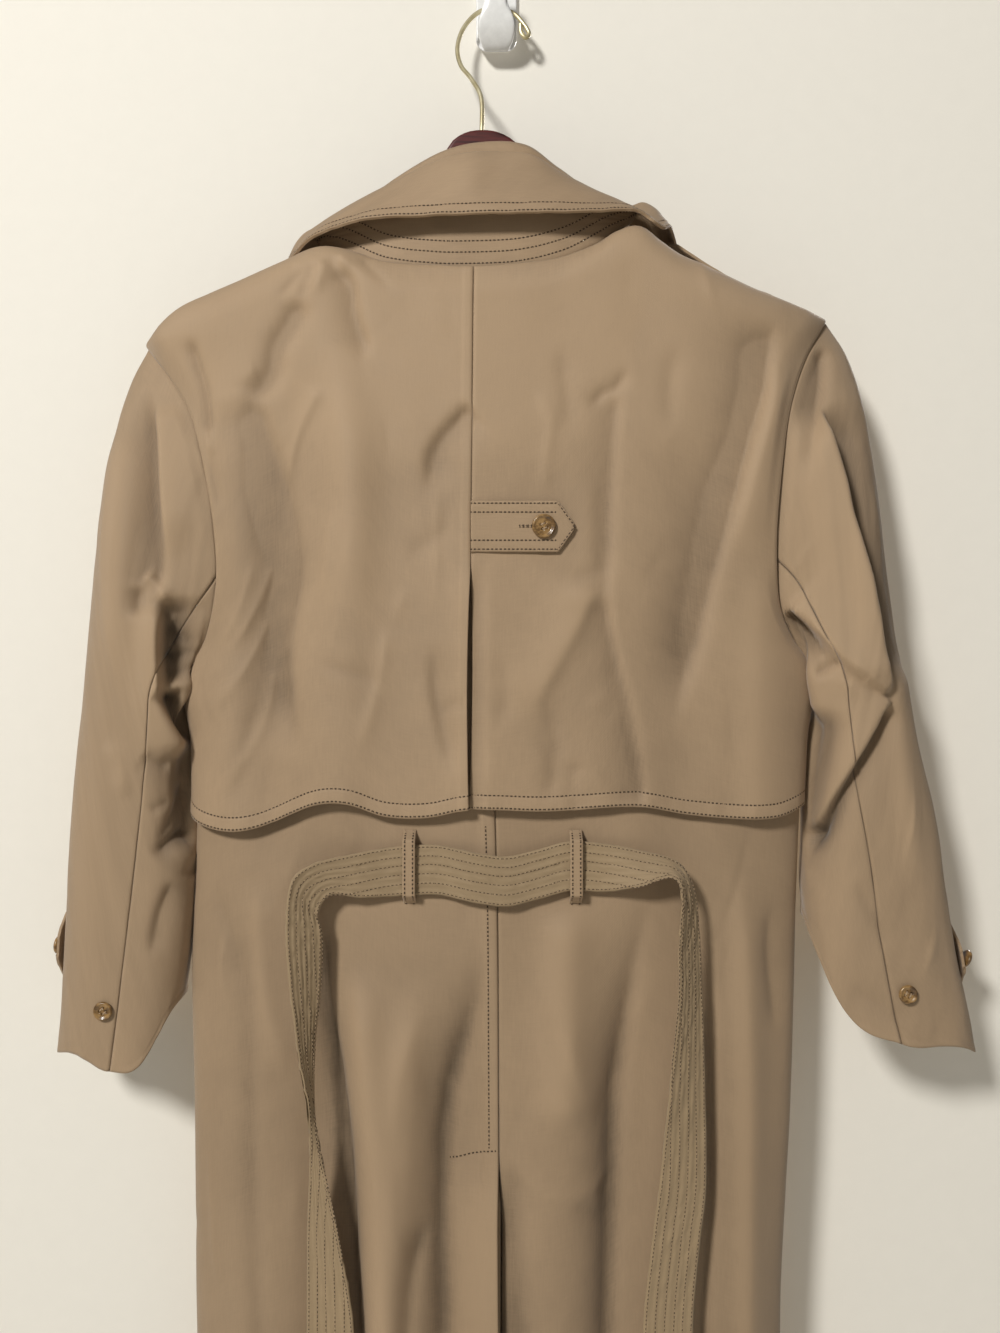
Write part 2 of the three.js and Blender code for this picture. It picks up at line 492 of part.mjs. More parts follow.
// angle 0 is the outer edge, 90 degrees the back, 180 the underarm edge.
function sleevePoint(side, angle, v) {
  const s = SLEEVES[side];
  const { deep, at, wide } = CUFF_DROP[side];
  const turn = THREE.MathUtils.euclideanModulo(angle + Math.PI / 2, 2 * Math.PI) - Math.PI / 2;
  const drop = deep * Math.exp(-(((turn - at) / wide) ** 2));
  const section = (t) => {
    const round = (value) => Math.sign(value) * Math.abs(value) ** (2 / SLEEVE.round);
    const out = (1 + round(Math.cos(angle))) / 2;
    return V(mix(s.ix(t), s.ox(t), out), SLEEVE.midY - s.half(t) * round(Math.sin(angle)),
      mix(s.iz(t), s.oz(t), out) - drop * t ** 2);
  };
  const start = armholePoint(side, angle).add(V(sign[side] * ARMHOLE_GAP, 0, 0)).sub(section(0));
  return section(v).addScaledVector(start, 1 - smooth(v / SLEEVE.settle));
}

// The back seam of the sleeve swings from low on the armhole to the middle of the cuff.
const seamAngle = (v) => mix(SLEEVE_SEAM.top, SLEEVE_SEAM.cuff, v);
function sleeveAngles(part) {
  const { gap } = SLEEVE_SEAM;
  return (v) => (part === 'top'
    ? { from: SLEEVE.under - 2 * Math.PI + gap, to: seamAngle(v) - gap }
    : { from: seamAngle(v) + gap, to: SLEEVE.under - gap });
}
function sleeveSurface(side, part) {
  const ends = sleeveAngles(part);
  return (u, v) => {
    const { from, to } = ends(v);
    return sleevePoint(side, mix(from, to, u), v ** SLEEVE.crowd);
  };
}

// Mitre at the armhole: the way into the hollow, which the body's wall and the sleeve's share.
function armholeMitre(side, angle) {
  const p = armholePoint(side, angle);
  const middle = (SHOULDER_Z[side] + UNDERARM_Z[side]) / 2;
  const tall = (SHOULDER_Z[side] - UNDERARM_Z[side]) / 2;
  const inwards = V(0, (MID_Y - p.y) / ARMHOLE_HALF ** 2, (middle - p.z) / tall ** 2).normalize();
  return inwards.add(V(-sign[side] * ARMHOLE_TURN, 0, 0)).normalize();
}

// The mitre where a body piece's side edge is armhole, nothing elsewhere.
function bodyMitre(side, face, surface) {
  return (u, v) => {
    if (u < 1) return null;
    const down = (SHOULDER_Z[side] - surface(u, v).z) / (SHOULDER_Z[side] - UNDERARM_Z[side]);
    if (down < 0.01 || down > 1) return null;
    const angle = Math.acos(1 - 2 * down);
    return armholeMitre(side, face === 'back' ? angle : -angle);
  };
}

// ---- Body, yoke and sleeves ----
for (const side of ['left', 'right']) {
  const outward = -sign[side];
  const back = backSurface(side, backCentre);
  addPiece(`back_${side}`, wall(back, {
    cols: BACK_COLS, rows: YOKE_ROWS + SKIRT_ROWS, thick: CLOTH, outward,
    inward: bodyMitre(side, 'back', back),
  }), 'khaki');
  const front = frontSurface(side);
  addPiece(`front_${side}`, wall(front, {
    cols: FRONT_COLS, rows: FRONT_TOP_ROWS + FRONT_SKIRT_ROWS, thick: CLOTH, outward: -outward,
    inward: bodyMitre(side, 'front', front),
  }), 'khaki');
  const lift = (u, v) => CLOTH + YOKE_LIFT.top
    + YOKE_LIFT.hem * (1 - YOKE_LIFT.side * u ** 3) * smooth((v - YOKE_LIFT.from) / (1 - YOKE_LIFT.from));
  addPiece(`yoke_${side}`, wall(yokeSurface(side), {
    cols: BACK_COLS, rows: YOKE_ROWS, thick: CLOTH, outward, lift,
  }), 'khaki');
  for (const [part, cols] of [['top', SLEEVE.cols], ['under', SLEEVE.underCols]]) {
    const ends = sleeveAngles(part);
    addPiece(`sleeve_${side}_${part}`, wall(sleeveSurface(side, part), {
      cols, rows: SLEEVE.rows, thick: CLOTH, outward: sign[side],
      inward: (u, v) => (v > 0 ? null : armholeMitre(side, mix(ends(0).from, ends(0).to, u))),
    }), 'khaki');
  }
}

// ---- Strips and patches ----
// A ribbon through table rows with an edge a and an edge b.
function ribbon(rows, edgeA, edgeB) {
  const table = rows.map((row, i) => ({ ...row, t: i / (rows.length - 1) }));
  const read = (edge) => ['x', 'y', 'z'].map((axis) => curve(table, 't', edge + axis));
  const a = read(edgeA);
  const b = read(edgeB);
  return (u, v) => V(...a.map((of, i) => mix(of(v), b[i](v), u)));
}

// Vent underlap: a strip of the right back's centre edge that the left back laps over.
const VENT = { left: -36, right: -0.8, top: VENT_TOP, bottom: HEM_Z + 4, deep: 1.6 };
addPiece('vent_underlap', wall((u, v) => {
  const z = mix(VENT.top, VENT.bottom, v);
  return onBack(mix(VENT.left, VENT.right, u) + backCentre(z), z, -CLOTH - VENT.deep);
}, { cols: 3, rows: 10, thick: CLOTH, outward: -1 }), 'khaki');

// Collar: a stand that rises from the neck seam, and the fall folded down over it
const collarTable = ribbon(COLLAR, 'n', 'f');
const collarStand = (u, v) => {
  const p = collarTable(u, v);
  const atBack = smooth((STAND.from - p.y) / STAND.over);
  return p.add(V(0, STAND.back * atBack * (1 - u), STAND.rise * (1 - u)));
};
addPiece('collar_stand', wall(collarStand, { cols: 3, rows: 24, thick: DOUBLE, outward: -1 }), 'khaki');
const leafEdge = ribbon(COLLAR, 'e', 'e');
addPiece('collar_fall', wall((u, v) => {
  const fold = collarStand(1, v).add(V(0, 0, FALL.rise));
  const atFront = smooth((fold.y - FALL.from) / FALL.over);
  const out = V(fold.x - NECK_MIDDLE.x, fold.y - NECK_MIDDLE.y, 0).normalize();
  const start = fold.clone().addScaledVector(out, mix(-DOUBLE, FALL.clear, atFront));
  const corner = fold.clone().addScaledVector(out, FALL.turn + FALL.more * atFront);
  return start.lerp(corner, u).lerp(corner.lerp(leafEdge(0, v), u), u);
}, { cols: 5, rows: 24, thick: DOUBLE, outward: 1 }), 'khaki');

// Lapels: the fronts' upper edges folded back along the roll line
for (const side of ['left', 'right']) {
  const front = frontSurface(side);
  const { tipX, tipZ, gorgeZ, footZ } = LAPEL[side];
  addPiece(`lapel_${side}`, wall((u, v) => {
    const z = mix(footZ, gorgeZ, v);
    const roll = frontEdge(side, z);
    const x = mix(roll, mix(roll, tipX, smooth(v * LAPEL.full) ** LAPEL.bow), u);
    const drop = (tipZ - gorgeZ) * u * v * v;
    const share = clamp01((x - roll) / (sideX[side](z) - roll));
    const rest = depthOf.front(z) * sectionShare(side, clamp01(x / sideX[side](z)), z) + MID_Y;
    return V(x, rest + LAPEL.lift + DOUBLE + LAPEL.tilt * share, z + drop);
  }, { cols: 4, rows: 10, thick: DOUBLE, outward: -sign[side] }), 'khaki');
}

// Back tab, with its point to the right
addPiece('back_tab', wall((u, v) => {
  const square = (BACK_TAB.square - BACK_TAB.x) / (BACK_TAB.tip - BACK_TAB.x);
  const half = BACK_TAB.half * (1 - pointed({ from: square, by: BACK_TAB.point }, v));
  return onBack(mix(BACK_TAB.x, BACK_TAB.tip, v), BACK_TAB.z + mix(half, -half, u), BACK_TAB.lift);
}, { cols: 2, rows: 13, thick: DOUBLE, outward: 1 }), 'khaki');

// Belt, its loops and its buckle
addPiece('belt', wall(ribbon(BELT, 'a', 'b'), { cols: 2, rows: 64, thick: BELT_THICK, outward: 1 }), 'khaki');
for (const loop of BELT_LOOPS) {
  addPiece(loop.name, wall((u, v) => {
    const bridge = smooth(v / LOOP.bend) * smooth((1 - v) / LOOP.bend);
    return onBack(loop.x + mix(-0.5, 0.5, u) * LOOP.wide, mix(LOOP.top, LOOP.bottom, v),
      CLOTH + LOOP.base + LOOP.lift * bridge);
  }, { cols: 1, rows: 14, thick: CLOTH, outward: -1 }), 'khaki');
}

const rectangle = (cx, cz, wide, tall) => [
  [cx - wide / 2, cz - tall / 2], [cx + wide / 2, cz - tall / 2],
  [cx + wide / 2, cz + tall / 2], [cx - wide / 2, cz + tall / 2],
];
{
  const { x, z, wide, tall, rim, bar, thick, y } = BUCKLE;
  const slot = (tall - 2 * rim - bar) / 2;
  const shape = new THREE.Shape(rectangle(x, z, wide, tall).map(([px, pz]) => new THREE.Vector2(px, pz)));
  for (const way of [1, -1]) {
    const hole = rectangle(x, z + way * (bar + slot) / 2, wide - 2 * rim, slot);
    shape.holes.push(new THREE.Path(hole.map(([px, pz]) => new THREE.Vector2(px, pz))));
  }
  const frame = new THREE.ExtrudeGeometry(shape, { depth: thick, bevelEnabled: false });
  addPiece('belt_buckle', frame.rotateX(Math.PI / 2).translate(0, y, 0), 'horn');
}

// Epaulettes: pointed strips along the shoulder seams, on the front
function epauletteSurface(side) {
  const { inner, outer, tipLift } = EPAULETTE[side];
  const onFront = (u, v) => {
    const x = mix(outer, inner, v);
    const share = mix(u, 0.5, pointed(EPAULETTE.point, v));
    const topAt = { z: topZ(x), y: topY(x) };
    const z = topAt.z - EPAULETTE.from - EPAULETTE.deep * share ** 2;
    return bodyPoint('front', side, x, z, clamp01(x / sideX[side](z)), topAt);
  };
  return (u, v) => {
    const rise = tipLift * smooth((v - EPAULETTE.rise) / (1 - EPAULETTE.rise));
    const normal = normalOf(onFront, u, v, sign[side]);
    return onFront(u, v).addScaledVector(normal, EPAULETTE.lift).add(V(0, 0, rise));
  };
}
for (const side of ['left', 'right']) {
  addPiece(`epaulette_${side}`, wall(epauletteSurface(side), {
    cols: 3, rows: 10, thick: DOUBLE, outward: sign[side],
  }), 'khaki');
}

// Sleeve straps: from the front of the sleeve round to a pointed end past its outer edge
for (const side of ['left', 'right']) {
  addPiece(`cuff_strap_${side}`, wall((u, v) => {
    const angle = mix(STRAP.from, STRAP.to, v);
    const place = STRAP[side].at + STRAP.share * (u - 0.5) * (1 - pointed(STRAP.point, v));
    const base = sleevePoint(side, angle, place);
    const out = base.clone().sub(sleevePoint(side, angle + Math.PI, place)).normalize();
    const rise = smooth((v - STRAP.rise) / (1 - STRAP.rise));
    return base.addScaledVector(out, STRAP[side].lift + STRAP.tipLift * rise);
  }, { cols: 2, rows: 12, thick: DOUBLE, outward: -sign[side] }), 'khaki');
}

// ---- Buttons ----
// A dished horn button with its back at `at`, facing along `facing`.
function addButton(name, at, facing, radius) {
  const { thick, foot, lip, rim, widest, dish } = BUTTON;
  const profile = [
    [0, 0], [radius - foot, 0], [radius, widest * thick], [radius - lip, thick],
    [radius - rim, dish * thick], [0, dish * thick],
  ].map(([x, y]) => new THREE.Vector2(x, y));
  const mesh = addPiece(name, new THREE.LatheGeometry(profile, BUTTON.sides), 'horn');
  mesh.position.copy(at);
  mesh.quaternion.setFromUnitVectors(V(0, 1, 0), facing.clone().normalize());
}

const BACKWARDS = V(0, -1, 0);
const tabTop = onBack(BACK_TAB.button, BACK_TAB.z, BACK_TAB.lift + 2 * SEAM);
addButton('button_back_tab', tabTop, BACKWARDS, BUTTON.large);
addButton('button_waist', onBack(WAIST_BUTTON.x, WAIST_BUTTON.z, WAIST_BUTTON.out), BACKWARDS, BUTTON.small);
for (const side of ['left', 'right']) {
  const cuff = CUFF_BUTTON[side];
  addButton(`button_cuff_${side}`, V(cuff.x, cuff.y, cuff.z), V(0, -1, 0.05), BUTTON.small);
  const strapAngle = STRAP.to - STRAP.button;
  const place = STRAP[side].at;
  const on = sleevePoint(side, strapAngle, place);
  const out = on.clone().sub(sleevePoint(side, strapAngle + Math.PI, place)).normalize();
  on.addScaledVector(out, STRAP[side].lift + STRAP.tipLift + STRAP[side].button);
  addButton(`button_strap_${side}`, on, out, BUTTON.small);
  const flap = epauletteSurface(side);
  const flapNormal = normalOf(flap, 0.5, EPAULETTE.button, sign[side]);
  addButton(`button_epaulette_${side}`, flap(0.5, EPAULETTE.button), flapNormal, BUTTON.small);
}
for (const [row, z] of FRONT_BUTTONS.rows.entries()) {
  for (const [column, x] of FRONT_BUTTONS.columns.entries()) {
    const across = Math.abs(x) / FRONT_BUTTONS.halfWidth;
    const surfaceY = MID_Y + depthOf.front(z) * sectionShare('right', across, z);
    addButton(`button_front_${row + 1}_${column + 1}`, V(x, surfaceY + FRONT_BUTTONS.lift, z), V(0, 1, 0),
      BUTTON.large);
  }
}

// ---- Hanger and wall hook ----
async function join(name, look, make) {
  const toManifold = (geometry) => {
    const bare = geometry.index ? geometry.toNonIndexed() : geometry.clone();
    bare.deleteAttribute('normal');
    bare.deleteAttribute('uv');
    const merged = mergeVertices(bare, 1e-3);
    return new wasm.Manifold(new wasm.Mesh({
      numProp: 3, vertProperties: merged.attributes.position.array,
      triVerts: new Uint32Array(merged.index.array),
    }));
  };
  const made = make(toManifold).getMesh();
  const geometry = new THREE.BufferGeometry();
  geometry.setAttribute('position', new THREE.BufferAttribute(made.vertProperties, 3));
  geometry.setIndex(new THREE.BufferAttribute(made.triVerts, 1));
  geometry.computeVertexNormals();
  addPiece(name, geometry, look);
}

// Extrudes an x-z outline from y = back towards -Y.
function slab(points, back, thick, bevel = 0) {
  const shape = new THREE.Shape(points.map(([x, z]) => new THREE.Vector2(x, z)));
  const options = { depth: thick - 2 * bevel, bevelEnabled: bevel > 0, bevelThickness: bevel,
    bevelSize: bevel, bevelOffset: -bevel, bevelSegments: 1, steps: 1 };
  const geometry = new THREE.ExtrudeGeometry(shape, options);
  return geometry.translate(0, 0, bevel).rotateX(Math.PI / 2).translate(0, back, 0);
}

const wirePath = new THREE.CatmullRomCurve3(WIRE.map(({ x, y, z }) => V(x, y, z)), false, 'centripetal');
const circle = (radius, sides) => new THREE.Shape(Array.from({ length: sides }, (_, i) => {
  const angle = (2 * Math.PI * i) / sides;
  return new THREE.Vector2(radius * Math.cos(angle), radius * Math.sin(angle));
}));
const wire = new THREE.ExtrudeGeometry(circle(WIRE_FORM.radius, WIRE_FORM.sides), {
  steps: WIRE_FORM.steps, extrudePath: wirePath,
});
await join('hanger_wire', 'wire', (solid) => solid(wire));

const evenly = (from, to, steps) => Array.from({ length: steps + 1 }, (_, i) => mix(from, to, i / steps));

await join('hanger_wood', 'wood', (solid) => {
  const { y, thick, bevel, steps } = WOOD_FORM;
  const top = curve(WOOD, 'x', 'top');
  const bottom = curve(WOOD, 'x', 'bottom');
  const along = evenly(WOOD[0].x, WOOD[WOOD.length - 1].x, steps);
  const outline = [...along.map((x) => [x, top(x)]), ...along.reverse().map((x) => [x, bottom(x)])];
  const arm = solid(slab(outline, y + thick / 2, thick, bevel));
  const line = new THREE.LineCurve3(V(BORE.x, y, BORE.bottom), V(BORE.x, y + BORE.lean, BORE.top));
  const bore = new THREE.ExtrudeGeometry(circle(WIRE_FORM.radius + SEAM, WIRE_FORM.sides), {
    steps: BORE.steps, extrudePath: line,
  });
  return arm.subtract(solid(bore));
});

// The wall hook: a plate, and an arm whose side view is cut to the width of its spoon
await join('wall_hook', 'plastic', (solid) => {
  const { wide, tall, plate, corner, cornerSteps, reach, spoonSteps } = HOOK;
  const round = [];
  for (const [cx, cz, from] of [[1, 1, 0], [-1, 1, 1], [-1, -1, 2], [1, -1, 3]]) {
    for (const quarter of evenly(from, from + 1, cornerSteps)) {
      const angle = quarter * Math.PI / 2;
      round.push([cx * (wide / 2 - corner) + corner * Math.cos(angle),
        cz * (tall / 2 - corner) + corner * Math.sin(angle)]);
    }
  }
  const body = solid(slab(round, 0, plate));
  const profile = new THREE.Shape(HOOK_PROFILE.map(({ y, z }) => new THREE.Vector2(y, z)));
  const across = new THREE.Matrix4().makeBasis(V(0, 1, 0), V(0, 0, 1), V(1, 0, 0));
  across.setPosition(-wide / 2, 0, 0);
  const throat = solid(new THREE.ExtrudeGeometry(profile, { depth: wide, bevelEnabled: false })
    .applyMatrix4(across));
  const half = curve(SPOON, 'z', 'half');
  const heights = evenly(SPOON[0].z, SPOON[SPOON.length - 1].z, spoonSteps);
  const outline = [...heights.map((z) => [half(z), z]), ...heights.reverse().map((z) => [-half(z), z])];
  return throat.intersect(solid(slab(outline, 0, reach))).add(body);
});

export default coat;
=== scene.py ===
# %% [markdown]
# A trench coat on its wooden hanger, hung from a wall hook with its back to the room. The packed
# solids say where every piece is. Here each piece of cloth is drawn again as a fine grid on the same
# form, and then gets its creases, its seams, its stitches and its gabardine.

# %% Load the frame
import math

import bmesh
import bpy
import numpy as np
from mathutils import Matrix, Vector


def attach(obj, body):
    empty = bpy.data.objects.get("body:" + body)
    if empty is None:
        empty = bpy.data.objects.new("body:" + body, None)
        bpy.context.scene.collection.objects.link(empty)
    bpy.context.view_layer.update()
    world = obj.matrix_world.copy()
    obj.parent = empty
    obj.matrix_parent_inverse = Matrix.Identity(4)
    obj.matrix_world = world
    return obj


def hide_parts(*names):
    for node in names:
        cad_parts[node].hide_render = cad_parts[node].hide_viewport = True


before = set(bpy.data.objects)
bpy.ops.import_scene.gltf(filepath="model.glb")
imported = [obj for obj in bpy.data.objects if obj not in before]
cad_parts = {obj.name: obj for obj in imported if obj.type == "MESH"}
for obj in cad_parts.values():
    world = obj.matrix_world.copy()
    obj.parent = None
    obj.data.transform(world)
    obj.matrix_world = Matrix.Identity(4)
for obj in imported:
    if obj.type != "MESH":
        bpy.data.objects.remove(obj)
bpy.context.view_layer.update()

MM = 0.001


def add_object(name, data):
    made = bpy.data.objects.new(name, data)
    bpy.context.scene.collection.objects.link(made)
    return made


# %% [markdown]
# The camera stands straight behind the coat at the height of its waist, a little under a metre away.
# It is made first, so that everything else is judged through it.

# %% Camera
CAMERA = {"place": (0.003, -0.950, -0.543), "lens": 30.38, "sensor": 36}
camera = add_object("camera", bpy.data.cameras.new("camera"))
camera.location = CAMERA["place"]
camera.rotation_euler = (math.pi / 2, 0, 0)
camera.data.lens = CAMERA["lens"]
camera.data.sensor_width = CAMERA["sensor"]
camera.data.clip_start = 0.01
bpy.context.scene.camera = camera
print("camera at", CAMERA["place"])

# %% [markdown]
# Tables with named columns hold the sizes, in millimetres. A curve through two columns of a table
# gives a smooth value anywhere between its rows.

# %% Tables and curves
def table(columns, *lines):
    names = columns.split()
    return [dict(zip(names, line)) for line in lines]


def mix(a, b, t):
    return a + (b - a) * t


def smooth(t):
    t = np.clip(t, 0, 1)
    return t * t * (3 - 2 * t)


def curve(rows, at, key):
    pairs = sorted((row[at], row[key]) for row in rows)
    xs = np.array([p[0] for p in pairs], float)
    ys = np.array([p[1] for p in pairs], float)
    last = len(xs) - 1
    before = np.maximum(np.arange(last + 1) - 1, 0)
    after = np.minimum(np.arange(last + 1) + 1, last)
    slope = (ys[after] - ys[before]) / (xs[after] - xs[before])

    def value(x):
        x = np.clip(np.asarray(x, float), xs[0], xs[-1])
        i = np.clip(np.searchsorted(xs, x, side="right") - 1, 0, last - 1)
        w = xs[i + 1] - xs[i]
        t = (x - xs[i]) / w
        y = ys[i] + slope[i] * w * t * (1 - t) ** 2 - slope[i + 1] * w * t * t * (1 - t)
        return y + (ys[i + 1] - ys[i]) * t * t * (3 - 2 * t)
    return value


def line_through(points, places):
    """Each coordinate of a smooth line through points. Place 0 is the first point, 1 the second."""
    return [curve([{"t": t, "c": c} for t, c in enumerate(column)], "t", "c")(places)
            for column in np.array(points, float).T]


print("a quarter of the way along, a smooth step has risen", smooth(0.25))

# %% [markdown]
# These sizes shaped the solids: where the side seams, the shoulders and the hems run, how deep the
# body is, and its largest folds. Heights count down from the middle of the wall hook.

# %% Sizes of the body
CLOTH, DOUBLE, SEAM = 1.6, 2.4, 0.3
MID_Y, BODY_ROUND, SHOULDER_RADIUS, UNDERARM_DEPTH = -55, 2.8, 30, 0.8
HEM_Z, HEM_LEAN, VENT_TOP = -1350, 0.03, -914
YOKE_SHARE = 13 / 22
FRONT_SHARE, FRONT_SPLIT_Z = 10 / 17, -590
NECK_Z, FRONT_TOP_Y, SHOULDER_ROUND, ROW_CROWD = -240, -62, 2.5, 1.4
SIDES = {"left": -1, "right": 1}
SIDE_SEAM = {
    "left": table("z x", (-289, -275), (-318, -253), (-344, -237), (-370, -228), (-401, -221),
                  (-437, -216), (-478, -215), (-521, -225), (-557, -243), (-600, -237), (-665, -236),
                  (-769, -240), (-969, -237), (-1360, -231)),
    "right": table("z x", (-269, 261), (-304, 240), (-340, 227), (-379, 220), (-430, 216), (-466, 216),
                   (-498, 220), (-522, 231), (-549, 248), (-600, 242), (-661, 239), (-713, 237),
                   (-850, 232), (-1076, 226), (-1360, 222)),
}
TOP_EDGE = table("x z y", (-275, -289, -55), (-265, -280, -55), (-245, -265, -55), (-221, -255, -55),
                 (-197, -245, -55), (-163, -231, -56), (-138, -222, -62), (-119, -224, -76),
                 (-86, -236, -89), (-41, -240, -94), (-17, -240, -95), (18, -238, -94), (50, -232, -90),
                 (78, -220, -83), (94, -209, -76), (110, -204, -62), (124, -214, -58), (141, -226, -56),
                 (191, -248, -55), (227, -259, -55), (261, -269, -55))
NECK_SIDE = {"left": -138, "right": 110}
SHOULDER_Z = {"left": -289, "right": -269}
UNDERARM_Z = {"left": -557, "right": -549}
BACK_CENTRE = table("z x", (-240, -17), (-460, -11), (-680, 0), (-916, 2), (-1360, 4))
YOKE_CENTRE = table("z x", (-240, -17), (-457, -19), (-660, -20.5))
BODY_DEPTH = table("z back front", (-270, 40, 34), (-450, 42, 35), (-700, 38, 33), (-1000, 42, 35),
                   (-1360, 46, 37))
FOLD, FOLD_FADE = "x1 z1 x2 z2 wide high", 0.25
FOLDS = {
    "back": table(FOLD, (-150, -300, -172, -640, 20, -6), (-195, -290, -205, -600, 14, 4),
                  (-110, -330, -120, -640, 22, 4), (150, -330, 140, -640, 26, -4),
                  (-12, -760, -48, -1350, 22, -9), (110, -720, 86, -1350, 24, -9),
                  (45, -740, 38, -1350, 26, 5), (-95, -740, -110, -1350, 24, 6),
                  (-135, -760, -132, -1350, 18, -7), (-190, -700, -184, -1350, 22, 5),
                  (185, -700, 178, -1350, 24, 5)),
    "front": table(FOLD, (-150, -420, -165, -1350, 24, 5), (150, -440, 160, -1350, 26, 5),
                   (100, -800, 112, -1350, 20, -6), (-100, -860, -96, -1350, 20, -6)),
}
YOKE_HEM = table("x z", (-240, -652), (-227, -664), (-199, -669), (-167, -662), (-136, -648), (-115, -646),
                 (-84, -656), (-53, -657), (-21, -651), (38, -652), (105, -649), (146, -656), (209, -659),
                 (240, -650))
YOKE_LIFT = {"top": 1.2, "hem": 8, "side_share": 0.7, "from": 0.2}
YOKE_LOOSE = 0.93
LAP, BREAK_Z = 75, -430
UNDER_LAP = {"deep": 5, "x": -110, "soft": 25, "below": 60}

side_x = {side: curve(SIDE_SEAM[side], "z", "x") for side in SIDES}
top_z, top_y = curve(TOP_EDGE, "x", "z"), curve(TOP_EDGE, "x", "y")
back_centre, yoke_centre = curve(BACK_CENTRE, "z", "x"), curve(YOKE_CENTRE, "z", "x")
body_depth = {face: curve(BODY_DEPTH, "z", face) for face in ("back", "front")}
yoke_hem = curve(YOKE_HEM, "x", "z")


def hem_z(x):
    return HEM_Z + HEM_LEAN * x


print("sizes: hem", HEM_Z, "vent from", VENT_TOP)

# %% [markdown]
# The body is a flattened tube. Its section is widest at the side seams and opens towards the armholes,
# so the back and the fronts share their edges. These are the same rules that shaped the solids.

# %% Form of the body
def point(x, y, z):
    return np.stack(np.broadcast_arrays(x, y, z), axis=-1).astype(float)


def fold_height(face, x, z):
    height = 0
    for fold in FOLDS[face]:
        along = (fold["z1"] - z) / (fold["z1"] - fold["z2"])
        fade = smooth(along / FOLD_FADE) * smooth((1 + FOLD_FADE - along) / FOLD_FADE)
        away = (x - mix(fold["x1"], fold["x2"], along)) / fold["wide"]
        height = height + fold["high"] * fade * np.exp(-away * away)
    return height


def section_share(side, across, z):
    down = (SHOULDER_Z[side] - z) / (SHOULDER_Z[side] - UNDERARM_Z[side])
    inside = (down > 0) & (down < 1)
    opening = np.where(inside, UNDERARM_DEPTH * np.sin(np.pi * np.clip(down, 0, 1)) ** 0.5, 0)
    edge = opening ** BODY_ROUND
    return (edge + (1 - edge) * np.maximum(0, 1 - across ** BODY_ROUND)) ** (1 / BODY_ROUND)


def body_point(face, side, x, z, across, top):
    out = -1 if face == "back" else 1
    full = MID_Y + out * body_depth[face](z) * section_share(side, across, z)
    fall = np.clip((top[1] - z) / SHOULDER_RADIUS, 0, 1)
    reach = (1 - (1 - fall) ** SHOULDER_ROUND) ** (1 / SHOULDER_ROUND)
    start = top[0] if face == "back" else np.maximum(top[0], FRONT_TOP_Y) + SEAM
    soft = fold_height(face, x, z) * (1 - across ** 6) * fall
    return point(x, mix(start, full, reach) + out * soft, z)


def row_height(v, share, top, split, bottom):
    upper = mix(top, split, np.clip(v / share, 0, 1) ** ROW_CROWD)
    return np.where(v < share, upper, mix(split, bottom, (v - share) / (1 - share)))


def back_surface(side, centre):
    def surface(u, v):
        across = np.sin(np.pi / 2 * u)
        top_x = mix(centre(NECK_Z), side_x[side](0), across)
        top = (top_y(top_x), top_z(top_x))
        x, z = top_x, top[1]
        for _ in range(3):
            z = row_height(v, YOKE_SHARE, top[1], yoke_hem(x), hem_z(x))
            x = mix(centre(z), side_x[side](z), across)
        return body_point("back", side, x, z, across, top)
    return surface


def yoke_surface(side):
    back = back_surface(side, yoke_centre)
    return lambda u, v: back(u * mix(1, YOKE_LOOSE, smooth((v - 0.35) / 0.2)), YOKE_SHARE * v)


def front_edge(side, z):
    up = np.clip((z - BREAK_Z) / (top_z(NECK_SIDE[side]) - BREAK_Z), 0, 1)
    return mix(-SIDES[side] * LAP, NECK_SIDE[side], up ** 0.85)


def front_surface(side):
    def surface(u, v):
        across = np.sin(np.pi / 2 * u)
        top_x = mix(NECK_SIDE[side], side_x[side](0), across)
        top = (top_y(top_x), top_z(top_x))
        z = row_height(v, FRONT_SHARE, top[1], FRONT_SPLIT_Z, hem_z(top_x))
        x = mix(front_edge(side, z), side_x[side](z), across)
        p = body_point("front", side, x, z, np.clip(x / side_x[side](z), 0, 1), top)
        if side == "left":
            covered = smooth((x - UNDER_LAP["x"]) / UNDER_LAP["soft"])
            p[..., 1] -= UNDER_LAP["deep"] * covered * smooth((top[1] - z) / UNDER_LAP["below"] - 1)
        return p
    return surface


def on_back(x, z, out):
    x, z = np.broadcast_arrays(np.asarray(x, float), np.asarray(z, float))

    def place(px, pz):
        answer = np.empty(px.shape + (3,))
        for side in SIDES:
            across = np.clip((px - back_centre(pz)) / (side_x[side](pz) - back_centre(pz)), 0, 1)
            top_x = mix(back_centre(NECK_Z), side_x[side](0), across)
            found = body_point("back", side, px, pz, across, (top_y(top_x), top_z(top_x)))
            mine = (px < back_centre(pz)) == (side == "left")
            answer[mine] = found[mine]
        return answer
    p = place(x, z)
    slope_x = (place(x + 1, z)[..., 1] - place(x - 1, z)[..., 1]) / 2
    slope_z = (place(x, z + 1)[..., 1] - place(x, z - 1)[..., 1]) / 2
    normal = point(slope_x, -1, slope_z)
    normal /= np.linalg.norm(normal, axis=-1, keepdims=True)
    return p + normal * np.asarray(out)[..., None]


print("back at the waist stands", round(float(-on_back(0, -700, 0)[1]), 1), "mm off the wall")

# %% [markdown]
# A sleeve starts on the loop of its armhole and settles into a flattened oval that hangs to the cuff.
# Angle 0 is its outer edge, a quarter turn is the middle of its back, and half a turn is the underarm.

